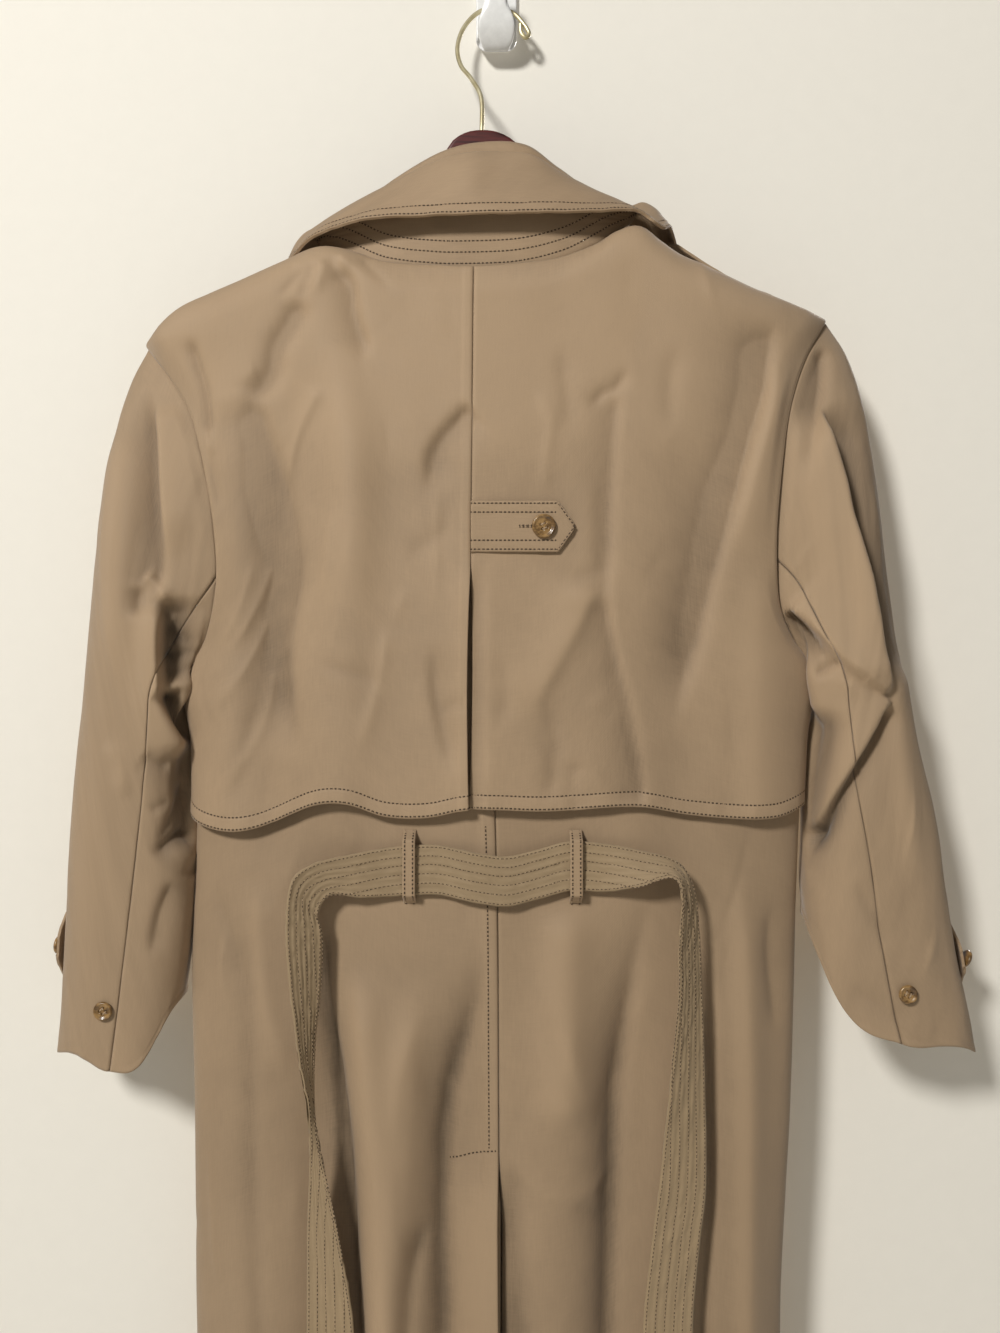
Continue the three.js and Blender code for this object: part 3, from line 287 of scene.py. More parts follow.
# %% Form of the sleeves
SLEEVE_ROWS = {
    "left": table("v ox oz ix iz half", (0, -275, -289, -243, -557, 40), (0.08, -291, -322, -242, -574, 40),
                  (0.2, -306, -384, -239, -607, 39), (0.35, -316, -473, -236, -645, 38),
                  (0.5, -325, -568, -235, -682, 36), (0.65, -333, -650, -237, -719, 34),
                  (0.8, -339, -740, -241, -757, 33), (1, -345, -845, -246, -803, 32)),
    "right": table("v ox oz ix iz half", (0, 261, -269, 248, -549, 40), (0.08, 281, -304, 253, -566, 40),
                   (0.2, 300, -385, 247, -596, 39), (0.35, 312, -480, 244, -625, 38),
                   (0.5, 328, -585, 243, -655, 36), (0.65, 346, -665, 243, -682, 35),
                   (0.8, 358, -745, 242, -707, 34), (1, 378, -846, 242, -736, 33)),
}
SLEEVE = {"round": 2.5, "mid_y": -58, "settle": 0.3, "seam": (1.95, 1.57), "under": 3.75, "crowd": 1.3}
CUFF_DROP = {"left": {"deep": 36, "at": 1.83, "wide": 0.55}, "right": {"deep": 54, "at": 1.97, "wide": 0.75}}
sleeve_curve = {side: {key: curve(rows, "v", key) for key in ("ox", "oz", "ix", "iz", "half")}
                for side, rows in SLEEVE_ROWS.items()}


def armhole_point(side, angle):
    z = mix(SHOULDER_Z[side], UNDERARM_Z[side], (1 - np.cos(angle)) / 2)
    x = side_x[side](z)
    top = (MID_Y, SHOULDER_Z[side])
    back = body_point("back", side, x, z, np.ones_like(x), top)
    front = body_point("front", side, x, z, np.ones_like(x), top)
    return np.where((np.sin(angle) >= 0)[..., None], back, front)


def sleeve_point(side, angle, v):
    angle, v = np.broadcast_arrays(np.asarray(angle, float), np.asarray(v, float))
    s = sleeve_curve[side]

    def rounded(value):
        return np.sign(value) * np.abs(value) ** (2 / SLEEVE["round"])

    def section(t):
        out = (1 + rounded(np.cos(angle))) / 2
        cuff = CUFF_DROP[side]
        turned = (np.mod(angle + np.pi / 2, 2 * np.pi) - np.pi / 2 - cuff["at"]) / cuff["wide"]
        drop = cuff["deep"] * np.exp(-turned ** 2) * t ** 2
        y = SLEEVE["mid_y"] - s["half"](t) * rounded(np.sin(angle))
        return point(mix(s["ix"](t), s["ox"](t), out), y, mix(s["iz"](t), s["oz"](t), out) - drop)
    start = armhole_point(side, angle) - section(np.zeros_like(v))
    return section(v) + start * (1 - smooth(v / SLEEVE["settle"]))[..., None]


def sleeve_surface(side, part):
    def surface(u, v):
        seam = mix(*SLEEVE["seam"], v)
        start, end = (SLEEVE["under"] - 2 * np.pi, seam) if part == "top" else (seam, SLEEVE["under"])
        return sleeve_point(side, mix(start, end, u), v ** SLEEVE["crowd"])
    return surface


print("right cuff hangs to", round(float(sleeve_point("right", math.pi / 2, 1)[2])), "mm")

# %% [markdown]
# Cloth is a grid of points: columns run across the piece and rows run down it. The grid knows how far
# each point is from the piece's four edges, measured along the cloth, because seams, hems and stitches
# all keep their distance from an edge. A closed wall with a thin rim comes from it at the end.

# %% The cloth grid
RIM_SOFT = 0.12


def spread(count, start=None, end=None):
    """Places from 0 to 1; `start` and `end` are (share, count) of closer places at the ends."""
    low, high, parts = 0.0, 1.0, []
    if start:
        parts.append(np.linspace(0, start[0], start[1], endpoint=False))
        low = start[0]
    if end:
        high = 1 - end[0]
    parts.append(np.linspace(low, high, count + 1))
    if end:
        parts.append(np.linspace(high, 1, end[1] + 1)[1:])
    return np.concatenate(parts)


class Cloth:
    def __init__(self, surface, across, down, outward=1):
        self.v, self.u = np.meshgrid(down, across, indexing="ij")
        self.outward = outward
        self.points = surface(self.u, self.v)
        self.relief = np.zeros_like(self.u)
        self.measure()

    def measure(self):
        def steps(axis):
            lengths = np.linalg.norm(np.diff(self.points, axis=axis), axis=-1)
            first = np.zeros_like(np.take(lengths, [0], axis=axis))
            return np.cumsum(np.concatenate([first, lengths], axis=axis), axis=axis)
        self.start, self.top = steps(1), steps(0)
        self.end = self.start[:, -1:] - self.start
        self.bottom = self.top[-1:, :] - self.top

    @property
    def x(self):
        return self.points[..., 0]

    @property
    def y(self):
        return self.points[..., 1]

    @property
    def z(self):
        return self.points[..., 2]

    def normals(self):
        du = np.gradient(self.points, axis=1)
        dv = np.gradient(self.points, axis=0)
        n = np.cross(du, dv) * self.outward
        return n / np.maximum(np.linalg.norm(n, axis=-1, keepdims=True), 1e-9)

    def lift(self, height, base=0):
        """Moves the cloth out by its creases' height, on top of a base distance."""
        self.relief = self.relief + height
        self.points = self.points + self.normals() * np.asarray(height + base)[..., None]

    def at(self, row, column):
        """Point and normal at places between the grid's own."""
        rows, columns = self.points.shape[:2]
        j = np.clip(np.floor(row).astype(int), 0, rows - 2)
        i = np.clip(np.floor(column).astype(int), 0, columns - 2)
        t, s = (row - j)[:, None], (column - i)[:, None]

        def read(grid):
            return mix(mix(grid[j, i], grid[j, i + 1], s), mix(grid[j + 1, i], grid[j + 1, i + 1], s), t)
        n = read(self.normals())
        return read(self.points), n / np.linalg.norm(n, axis=-1, keepdims=True)

    def inset(self, edge, distance, low=0.0, high=1.0):
        """A line at a distance from one edge, as grid places, between two shares of that edge."""
        lines = getattr(self, edge)
        if edge in ("top", "bottom"):
            lines = lines.T
        numbers = np.arange(lines.shape[1])
        if edge in ("bottom", "end"):
            lines, numbers = lines[:, ::-1], numbers[::-1]
        last = len(lines) - 1
        which = np.linspace(low * last, high * last, 4 * len(lines))
        places = [np.interp(distance, line, numbers) for line in lines]
        found = np.interp(which, np.arange(len(lines)), places)
        return (found, which) if edge in ("top", "bottom") else (which, found)


def solid_cloth(name, cloth, thick, material):
    """A closed wall of cloth: the grid, a second grid behind it, and a thin rim with softened edges."""
    outer, normal = cloth.points, cloth.normals()
    inner = outer - normal * thick
    rows, columns = outer.shape[:2]
    edge = np.zeros((rows, columns, 1))
    edge[[0, -1], :] = edge[:, [0, -1]] = 1
    outer = outer - normal * edge * thick * RIM_SOFT
    inner = inner + normal * edge * thick * RIM_SOFT
    count = rows * columns
    number = np.arange(count).reshape(rows, columns)
    a, b, c, d = number[:-1, :-1], number[:-1, 1:], number[1:, 1:], number[1:, :-1]
    front = np.stack([a, b, c, d], -1).reshape(-1, 4)
    back = np.stack([a, d, c, b], -1).reshape(-1, 4) + count
    ring = np.concatenate([number[0, :-1], number[:-1, -1], number[-1, :0:-1], number[:0:-1, 0]])
    after = np.roll(ring, -1)
    rim = np.stack([ring, ring + count, after + count, after], -1)
    faces = np.concatenate([front, back, rim])
    points = np.concatenate([outer.reshape(-1, 3), inner.reshape(-1, 3)]) * MM
    corner = points[faces[:, 0]]
    volume = np.einsum("ij,ij->i", corner, np.cross(points[faces[:, 1]], points[faces[:, 2]])).sum()
    volume += np.einsum("ij,ij->i", corner, np.cross(points[faces[:, 2]], points[faces[:, 3]])).sum()
    if volume < 0:
        faces = faces[:, ::-1]
    # The third number carries the creases' height into the shader, where it paints shade into folds and a
    # highlight onto ridges.
    cut = np.stack([cloth.start, -cloth.top, cloth.relief], -1).reshape(-1, 3) * MM
    is_smooth = np.arange(len(faces)) < len(faces) - len(rim)
    return build_mesh(name, points, [faces], [material], is_smooth, cut=np.concatenate([cut, cut]))


def build_mesh(name, points, face_sets, materials, is_smooth, pick=None, cut=None):
    """An object from arrays. A face set has a row for each face and a column for each corner."""
    sizes = np.concatenate([np.full(len(faces), faces.shape[1]) for faces in face_sets])
    corners = np.concatenate([faces.ravel() for faces in face_sets])
    mesh = bpy.data.meshes.new(name)
    mesh.vertices.add(len(points))
    mesh.vertices.foreach_set("co", np.asarray(points, np.float32).ravel())
    mesh.loops.add(len(corners))
    mesh.loops.foreach_set("vertex_index", corners.astype(np.int32))
    mesh.polygons.add(len(sizes))
    mesh.polygons.foreach_set("loop_start", (np.cumsum(sizes) - sizes).astype(np.int32))
    mesh.polygons.foreach_set("use_smooth", is_smooth)
    for material in materials:
        mesh.materials.append(material)
    if pick is not None:
        mesh.polygons.foreach_set("material_index", pick.astype(np.int32))
    if cut is not None:
        layer = mesh.attributes.new("cut", "FLOAT_VECTOR", "POINT")
        layer.data.foreach_set("vector", np.asarray(cut, np.float32).ravel())
    mesh.update(calc_edges=True)
    mesh.validate()
    return add_object(name, mesh)


print("a row of 10 even steps with 4 closer ones at its end has", len(spread(10, None, (0.1, 4))), "places")

# %% [markdown]
# A crease is a line on the cloth with a height and a width to each side, so it can be a soft trough, a
# round ridge or a fold that is sharp on one side. Value noise with a fixed table gives the small
# unevenness that every pressed and worn cloth has.

# %% Creases and unevenness
CREASE = "high left right starts ends sharp path"
PUCKER = {"high": 0.4, "size": 7, "seed": 5, "stretch": 4}


def ripple(x, y, size, seed, stretch=1.0):
    """Value noise from -1 to 1 in cells of one size, stretched along y."""
    values = np.random.default_rng(seed).uniform(-1, 1, (64, 64))
    gx, gy = x / size + 17.3, y / (size * stretch) + 11.7
    i, j = np.floor(gx).astype(int), np.floor(gy).astype(int)
    s, t = smooth(gx - i), smooth(gy - j)
    low = mix(values[i % 64, j % 64], values[(i + 1) % 64, j % 64], s)
    high = mix(values[i % 64, (j + 1) % 64], values[(i + 1) % 64, (j + 1) % 64], s)
    return mix(low, high, t)


def ripples(x, y, *waves):
    """Several sizes of unevenness together. Each wave is (high, size, seed, stretch)."""
    return sum(high * ripple(x, y, size, seed, stretch) for high, size, seed, stretch in waves)


def crease(x, z, path, high, left, right, starts=0.25, ends=0.25, sharp=2.0):
    """Height of one crease. `left` and `right` are its widths to each side as it runs down."""
    last = len(path) - 1
    px, pz = line_through(path, np.linspace(0, last, 6 * last + 1))
    length = np.concatenate([[0], np.cumsum(np.hypot(np.diff(px), np.diff(pz)))])
    best = np.full(x.shape, 1e9)
    away, along = np.zeros(x.shape), np.zeros(x.shape)
    for k in range(len(px) - 1):
        dx, dz = px[k + 1] - px[k], pz[k + 1] - pz[k]
        size = dx * dx + dz * dz
        t = np.clip(((x - px[k]) * dx + (z - pz[k]) * dz) / size, 0, 1)
        rx, rz = x - px[k] - t * dx, z - pz[k] - t * dz
        far = rx * rx + rz * rz
        near = far < best
        best = np.where(near, far, best)
        away = np.where(near, np.sign(dx * rz - dz * rx) * np.sqrt(far), away)
        along = np.where(near, (length[k] + t * math.sqrt(size)) / length[-1], along)
    wide = np.where(away < 0, left, right)
    fade = smooth(along / starts) if starts else 1
    fade = fade * (smooth((1 - along) / ends) if ends else 1)
    return high * fade * np.exp(-np.abs(away / wide) ** sharp)


def creases(x, z, rows):
    return sum(crease(x, z, **row) for row in rows)


def faint_creases(x, z, count, seed, area, high=0.5, wide=5, long=90, tilt=0.5):
    """Short faint creases, scattered over an area (x from, x to, z from, z to)."""
    rng = np.random.default_rng(seed)
    total = np.zeros(x.shape)
    for _ in range(count):
        cx, cz = rng.uniform(area[0], area[1]), rng.uniform(area[2], area[3])
        lean, half = rng.normal(0, tilt), long * rng.uniform(0.4, 1.0) / 2
        bend = rng.normal(0, 0.12) * half
        dx, dz = half * math.sin(lean), half * math.cos(lean)
        side = wide * rng.uniform(0.5, 1.6)
        path = [(cx + dx, cz + dz), (cx + bend, cz), (cx - dx, cz - dz)]
        total += crease(x, z, path, high * rng.normal(0, 1), side * rng.uniform(0.4, 1), side, 0.5, 0.5, 1.4)
    return total


def seam_dip(distance, deep=0.7, wide=1.3):
    """A seam draws the cloth in along its line."""
    return -deep * np.exp(-(distance / wide) ** 2)


def hem_band(distance, deep, along, high=0.55):
    """A hem is folded twice, so it is thicker up to its stitches, and it puckers a little."""
    band = smooth((deep + 1.5 - distance) / 2.5)
    pucker = ripple(along, distance, PUCKER["size"], PUCKER["seed"], PUCKER["stretch"]) * PUCKER["high"]
    return band * (high * 0.6 + pucker) - 0.25 * np.exp(-((distance - deep) / 1.3) ** 2)


print("creases are drawn in millimetres along x and z")

# %% [markdown]
# Stitches are small raised grains of thread. At both ends of each sits a flat dark diamond, painted
# shade that stands for the shadow in its needle hole. The stitches are laid along lines that keep their
# distance from an edge, so the rows stay parallel over every fold.

# %% Stitches
# The hole numbers size and place the flat dark diamonds of painted shade at the ends of each stitch.
STITCH = {"long": 1.9, "pitch": 3.2, "uneven": 0.08, "thread": 0.26, "flat": 0.8, "raised": 0.7, "sunk": 0.05,
          "shoulder": 0.28, "hole": 0.78, "hole_shade_at": 0.62, "hole_shade_raised": 0.06}


def stitch_lines(name, cloth, lines, materials, hole_shade_size):
    """Rows of stitches on a cloth. Each line is (rows, columns): places on its grid."""
    pitch, thread, long = STITCH["pitch"], STITCH["thread"], STITCH["long"]
    points, faces, pick = [], [], []
    ring = [(math.cos(a), math.sin(a)) for a in (0, math.pi / 2, math.pi, 3 * math.pi / 2)]
    rng = np.random.default_rng(len(name))
    for row, column in lines:
        place, normal = cloth.at(np.asarray(row, float), np.asarray(column, float))
        length = np.concatenate([[0], np.cumsum(np.linalg.norm(np.diff(place, axis=0), axis=1))])
        centres = np.arange(pitch / 2, length[-1], pitch)
        if not len(centres):
            continue
        centres = centres + rng.uniform(-STITCH["uneven"], STITCH["uneven"], len(centres)) * pitch

        def read(grid, at):
            return np.stack([np.interp(at, length, grid[:, k]) for k in range(3)], -1)
        middle, n = read(place, centres), read(normal, centres)
        n /= np.linalg.norm(n, axis=1, keepdims=True)
        along = read(place, centres + 0.5) - read(place, centres - 0.5)
        along /= np.maximum(np.linalg.norm(along, axis=1, keepdims=True), 1e-9)
        side = np.cross(n, along)
        for m, up, t, s in zip(middle, n, along, side):
            base = len(points)
            points.append(m - t * long / 2 - up * STITCH["sunk"])
            for step in (-STITCH["shoulder"], STITCH["shoulder"]):
                heart = m + t * long * step + up * thread * STITCH["raised"]
                points += [heart + thread * (s * c + up * STITCH["flat"] * w) for c, w in ring]
            points.append(m + t * long / 2 - up * STITCH["sunk"])
            for k in range(4):
                a, b = base + 1 + k, base + 1 + (k + 1) % 4
                faces += [(base, b, a, a), (a, b, b + 4, a + 4), (base + 9, a + 4, b + 4, b + 4)]
                pick += [0, 0, 0]
            # Painted shade: a flat dark diamond at each end of a stitch stands for the shadow in its needle
            # hole.
            for step in (-STITCH["hole_shade_at"], STITCH["hole_shade_at"]):
                hole = m + t * long * step + up * STITCH["hole_shade_raised"]
                first = len(points)
                points += [hole + way * hole_shade_size for way in (-t, -s, t, s)]
                faces.append((first, first + 1, first + 2, first + 3))
                pick.append(1)
    faces, pick = np.array(faces), np.array(pick)
    tri = faces[:, 2] == faces[:, 3]
    pick = np.concatenate([pick[tri], pick[~tri]])
    face_sets = [faces[tri][:, :3], faces[~tri]]
    return build_mesh(name, np.array(points) * MM, face_sets, materials, pick == 0, pick)


print("one stitch is", STITCH["long"], "mm long")

# %% [markdown]
# Shader maths is easier to read as an expression. A Value wraps a socket, and adding, subtracting or
# multiplying values adds the Math nodes. A Finish is one material, and its node method makes any other
# node from its type, its settings and the values of its sockets.

# %% Shader maths
class Value:
    def __init__(self, finish, socket):
        self.finish, self.socket = finish, socket

    def do(self, operation, *others, flip=False):
        values = [*others, self] if flip else [self, *others]
        return self.finish.node("ShaderNodeMath", {"operation": operation}, *values)

    def __add__(self, other): return self.do("ADD", other)
    def __radd__(self, other): return self.do("ADD", other, flip=True)
    def __sub__(self, other): return self.do("SUBTRACT", other)
    def __rsub__(self, other): return self.do("SUBTRACT", other, flip=True)
    def __mul__(self, other): return self.do("MULTIPLY", other)
    def __rmul__(self, other): return self.do("MULTIPLY", other, flip=True)
    def sine(self): return self.do("SINE")


class Finish:
    def __init__(self, name, slot, **constants):
        self.material = bpy.data.materials.new(name)
        self.material.use_nodes = True
        self.tree = self.material.node_tree
        self.shader = self.tree.nodes["Principled BSDF"]
        self.slot = slot
        for socket, value in constants.items():
            self.shader.inputs[socket.replace("_", " ")].default_value = value

    def node(self, kind, settings=None, *values, out=0, **named):
        made = self.tree.nodes.new(kind)
        for key, value in (settings or {}).items():
            if key == "stops":
                while len(made.color_ramp.elements) < len(value):
                    made.color_ramp.elements.new(0.5)
                for element, (place, colour) in zip(made.color_ramp.elements, value):
                    element.position, element.color = place, colour
            else:
                setattr(made, key, value)
        for name, value in [*enumerate(values), *((k.replace("_", " "), v) for k, v in named.items())]:
            if isinstance(value, Value):
                self.tree.links.new(value.socket, made.inputs[name])
            else:
                made.inputs[name].default_value = value
        return Value(self, made.outputs[out])

    def cut(self):
        """Place on the cloth, in metres along its width and its length, and the creases' height, which the
        gabardine turns into painted shade and painted highlight.
        """
        return self.node("ShaderNodeAttribute", {"attribute_name": "cut"}, out="Vector")

    def place(self):
        return self.node("ShaderNodeTexCoord", out="Object")

    def scaled(self, vector, size):
        return self.node("ShaderNodeVectorMath", {"operation": "MULTIPLY"}, vector, size)

    def noise(self, vector, scale, detail=2.0, rough=0.5):
        return self.node("ShaderNodeTexNoise", Vector=vector, Scale=scale, Detail=detail, Roughness=rough)

    def ramp(self, factor, *stops):
        return self.node("ShaderNodeValToRGB", {"stops": stops}, factor)

    def set(self, socket, value):
        self.tree.links.new(value.socket, self.shader.inputs[socket])

    def bump(self, height, strength, distance):
        self.set("Normal", self.node("ShaderNodeBump", Strength=strength, Distance=distance, Height=height))


def simple_finish(name, slot, noise, stops, rough, bump=None, stretch=None, **constants):
    """One noise drives the colour, the roughness (from, by) and the bump (strength, distance)."""
    f = Finish(name, slot, **constants)
    tone = f.noise(f.scaled(f.place(), stretch) if stretch else f.place(), *noise)
    f.set("Base Color", f.ramp(tone, *stops))
    f.set("Roughness", rough[0] + tone * rough[1])
    if bump:
        f.bump(tone, *bump)
    return f


def rgb(red, green, blue):
    """A colour as the eye names it, 0 to 255, turned into the linear numbers a shader takes."""
    return tuple((c / 255 / 12.92 if c < 10.3 else ((c / 255 + 0.055) / 1.055) ** 2.4)
                 for c in (red, green, blue)) + (1,)


print("a mid khaki is", [round(c, 3) for c in rgb(166, 141, 113)])

# %% [markdown]
# Cotton gabardine is a steep twill: fine diagonal ribs about half a millimetre apart, in a yarn whose
# colour varies a little along warp and weft. The ribs are a bump along the cloth's own cut, so they
# turn with every piece. The height of the creases paints shade into the colour: the bottoms of deep
# folds are painted darker and ridges get a painted highlight. A little sheen lifts the edges of folds.

# %% Gabardine
KHAKI = rgb(168, 143, 114)
TWILL = {"pitch": 0.00055, "steep": 1.1}
# Painted shade and highlight: crease heights from -18 to +12 mm shift the tone from -0.6 to +0.14, so fold
# bottoms are painted dark and ridges painted light.
PAINTED_FOLD_SHADE = {"height": (-0.018, 0.012), "tone": (-0.6, 0.14)}
SHADES = (0.3, 0.82, 1.1)


def gabardine(name, colour=KHAKI):
    f = Finish(name, "gabardine", Sheen_Weight=0.18, Sheen_Roughness=0.45, Specular_IOR_Level=0.32)
    cut = f.cut()
    across = f.node("ShaderNodeSeparateXYZ", None, cut)
    down, relief = (Value(f, across.socket.node.outputs[axis]) for axis in "YZ")
    ribs = ((across * math.sin(TWILL["steep"]) + down * math.cos(TWILL["steep"]))
            * (2 * math.pi / TWILL["pitch"])).sine()
    warp = f.noise(f.scaled(cut, (900, 60, 1)), 1.0)
    weft = f.noise(f.scaled(cut, (70, 900, 1)), 1.0)
    cloudy = f.noise(cut, 9.0, 3.0, 0.6)
    worn = f.noise(cut, 55.0, 4.0, 0.7)
    # Painted shade: the crease height darkens the colour in folds and lightens it on ridges.
    painted_fold_shade = f.node("ShaderNodeMapRange", {"interpolation_type": "SMOOTHSTEP"},
                     relief, *PAINTED_FOLD_SHADE["height"], *PAINTED_FOLD_SHADE["tone"])
    yarn = (warp - 0.5) * 0.16 + (weft - 0.5) * 0.12
    tone = 0.64 + painted_fold_shade + yarn + (cloudy - 0.5) * 0.3 + (worn - 0.5) * 0.14
    deep, dark, light = (tuple(min(1, c * k) for c in colour[:3]) + (1,) for k in SHADES)
    f.set("Base Color", f.ramp(tone, (0.05, deep), (0.4, dark), (0.6, colour), (0.85, light)))
    f.set("Roughness", 0.62 + (worn - 0.5) * 0.16 + (weft - 0.5) * 0.1)
    f.bump(ribs * 0.5 + warp * 0.9 + weft * 0.7 + worn * 0.8, 0.35, 0.00022)
    return f


cloth_finish = gabardine("gabardine")
double_finish = gabardine("gabardine_pressed", rgb(166, 141, 112))
back_finish = gabardine("gabardine_back", rgb(160, 136, 108))
belt_finish = gabardine("gabardine_belt", rgb(158, 136, 105))
# Painted shade: the vent's underlap, which lies in the gap behind the lapped half, is a darker copy of the
# gabardine.
under_shaded_finish = gabardine("gabardine_under_shaded", rgb(150, 127, 98))
thread_finish = simple_finish("thread", "gabardine", (900.0,),
                              [(0.3, rgb(150, 125, 96)), (0.7, rgb(186, 161, 130))],
                              (0.55, 0.2), (0.3, 0.0001), Sheen_Weight=0.1)
# Painted shade: the needle holes are flat dark brown patches that stand for their shadow.
hole_shade_finish = simple_finish("needle_hole_shade", "gabardine", (500.0,),
                            [(0.3, rgb(52, 38, 24)), (0.7, rgb(70, 54, 36))], (0.8, 0.1))
SEWING = [thread_finish.material, hole_shade_finish.material]
print("cloth finishes:", cloth_finish.material.name, belt_finish.material.name)

# %% [markdown]
# The buttons are brown horn with darker streaks, the hanger is dark red lacquered wood with a brass
# plated wire, and the wall hook is moulded white plastic.

# %% Horn, wood, wire and plastic
horn = simple_finish("horn", "horn", (0.55, 6.0, 0.65),
                     [(0.3, rgb(44, 28, 12)), (0.46, rgb(104, 76, 40)), (0.58, rgb(158, 124, 76)),
                      (0.75, rgb(78, 54, 28))],
                     (0.24, 0.16), (0.08, 0.0003), (160, 160, 300), Coat_Weight=0.4, Coat_Roughness=0.12)
wood = simple_finish("mahogany", "wood", (3.0, 8.0, 0.6),
                     [(0.3, rgb(40, 8, 6)), (0.55, rgb(88, 24, 18)), (0.75, rgb(58, 12, 10))],
                     (0.28, 0.15), (0.12, 0.0004), (9, 90, 120), Coat_Weight=0.6, Coat_Roughness=0.1)
brass = simple_finish("brass_wire", "wire", (90.0, 3.0, 0.5),
                      [(0.35, rgb(206, 192, 150)), (0.7, rgb(230, 220, 184))],
                      (0.34, 0.1), (0.03, 0.0001), Metallic=0.7)
plastic = simple_finish("white_plastic", "plastic", (120.0, 4.0, 0.6),
                        [(0.3, rgb(226, 226, 224)), (0.7, rgb(240, 240, 238))],
                        (0.3, 0.1), (0.05, 0.0002), Coat_Weight=0.25, Coat_Roughness=0.15)
print("hard finishes: horn, mahogany, brass wire, white plastic")

# %% [markdown]
# Every piece rides on the one body, and any solid that it stands for is hidden. This is done in one
# place, so that no piece is forgotten.

# %% Finish a piece
shown = {}


def place_piece(made, finish, *nodes):
    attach(made, "root")
    if nodes:
        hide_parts(*nodes)
    shown[made.name] = made
    return made


def sew(node, cloth, flat, finish=cloth_finish, thick=1.2, lines=(), share=None,
        hole_shade_size=STITCH["hole"]):
    """Turns a grid into the piece that stands for a node, with its stitches."""
    made = place_piece(solid_cloth(node + "_cloth", cloth, thick, finish.material), finish, node)
    if lines:
        stitches = stitch_lines(node + "_stitches", cloth, lines, SEWING, hole_shade_size)
        place_piece(stitches, thread_finish)
    area = None if share is None else share * flat[0] * flat[1]


# %% [markdown]
# The back is two halves joined down the middle. Below the belt the cloth falls in long soft folds,
# and the left half laps over the right one at the vent.

# %% Back halves
SKIRT_CREASES = table(CREASE,
    (-10.5, 13, 5, 0.45, 0, 1.3, [(2, -720), (-7, -773), (-21, -823), (-33, -872), (-37, -933),
        (-38, -994), (-37, -1058)]),
    (7.6, 18, 14, 0.3, 0, 2, [(-58, -766), (-67, -842), (-70, -918), (-73, -994), (-76, -1058)]),
    (-6.6, 12, 6, 0.3, 0, 1.5, [(-52, -959), (-64, -1009), (-68, -1058)]),
    (-10.5, 13, 5, 0.45, 0, 1.3, [(122, -702), (109, -754), (100, -814), (93, -872), (90, -948),
        (88, -1058)]),
    (7.6, 18, 18, 0.2, 0, 2, [(56, -720), (53, -796), (55, -872)]),
    (-5.6, 5, 10, 0.2, 0, 1.6, [(8, -910), (12, -978), (15, -1058)]),
    (1.7, 5, 5, 0.2, 0.2, 1.3, [(6, -906), (26, -934), (56, -944), (81, -936), (88, -915)]),
    (-1.8, 4, 5, 0.3, 0.3, 1.3, [(55, -953), (71, -959), (88, -972)]),
    (-11.2, 10, 6, 0.15, 0, 1.4, [(-128, -724), (-132, -785), (-123, -853), (-114, -929), (-103, -1058)]),
    (7.6, 9, 16, 0.2, 0, 2, [(-106, -766), (-99, -842), (-90, -933), (-85, -1058)]),
    (-4.9, 6, 5, 0.1, 0, 1.6, [(146, -708), (159, -781), (163, -857), (163, -948), (157, -1058)]),
    (5.6, 10, 15, 0.2, 0, 1.8, [(182, -690), (191, -758), (193, -887), (193, -1058)]),
    (-2.8, 6, 8, 0.3, 0.2, 1.5, [(214, -720), (210, -766), (217, -826)]),
    (3.3, 12, 10, 0.2, 0.2, 1.6, [(-184, -705), (-178, -788), (-157, -864)]),
    (-3.4, 10, 8, 0.2, 0, 1.8, [(-195, -720), (-190, -826), (-187, -948), (-181, -1058)]),
    (1.3, 3, 4, 0.3, 0.3, 1.3, [(-223, -902), (-220, -978), (-213, -1032)]),
    (-1.8, 6, 5, 0.3, 0.3, 1.5, [(37, -796), (49, -842), (65, -880)]),
    (1.7, 7, 6, 0.3, 0.3, 1.5, [(-58, -804), (-75, -857), (-76, -910)]),
    (-1.4, 4, 4, 0.3, 0.3, 1.4, [(-222, -705), (-205, -750), (-195, -796)]))
HEM = {"yoke": 11, "coat": 30, "cuff": 6, "front": 8}
VENT_SEAM = {"beside": 7.5, "across": (2, 38), "slant": 24}
SIDE_SEED = {"left": 1, "right": 2}
FLAP = {"soft": 60, "turn": 5, "turn_wide": 46, "turn_soft": 40, "sink": 8, "sink_wide": 10}


def vent_share(z):
    return smooth((VENT_TOP - z) / FLAP["soft"])


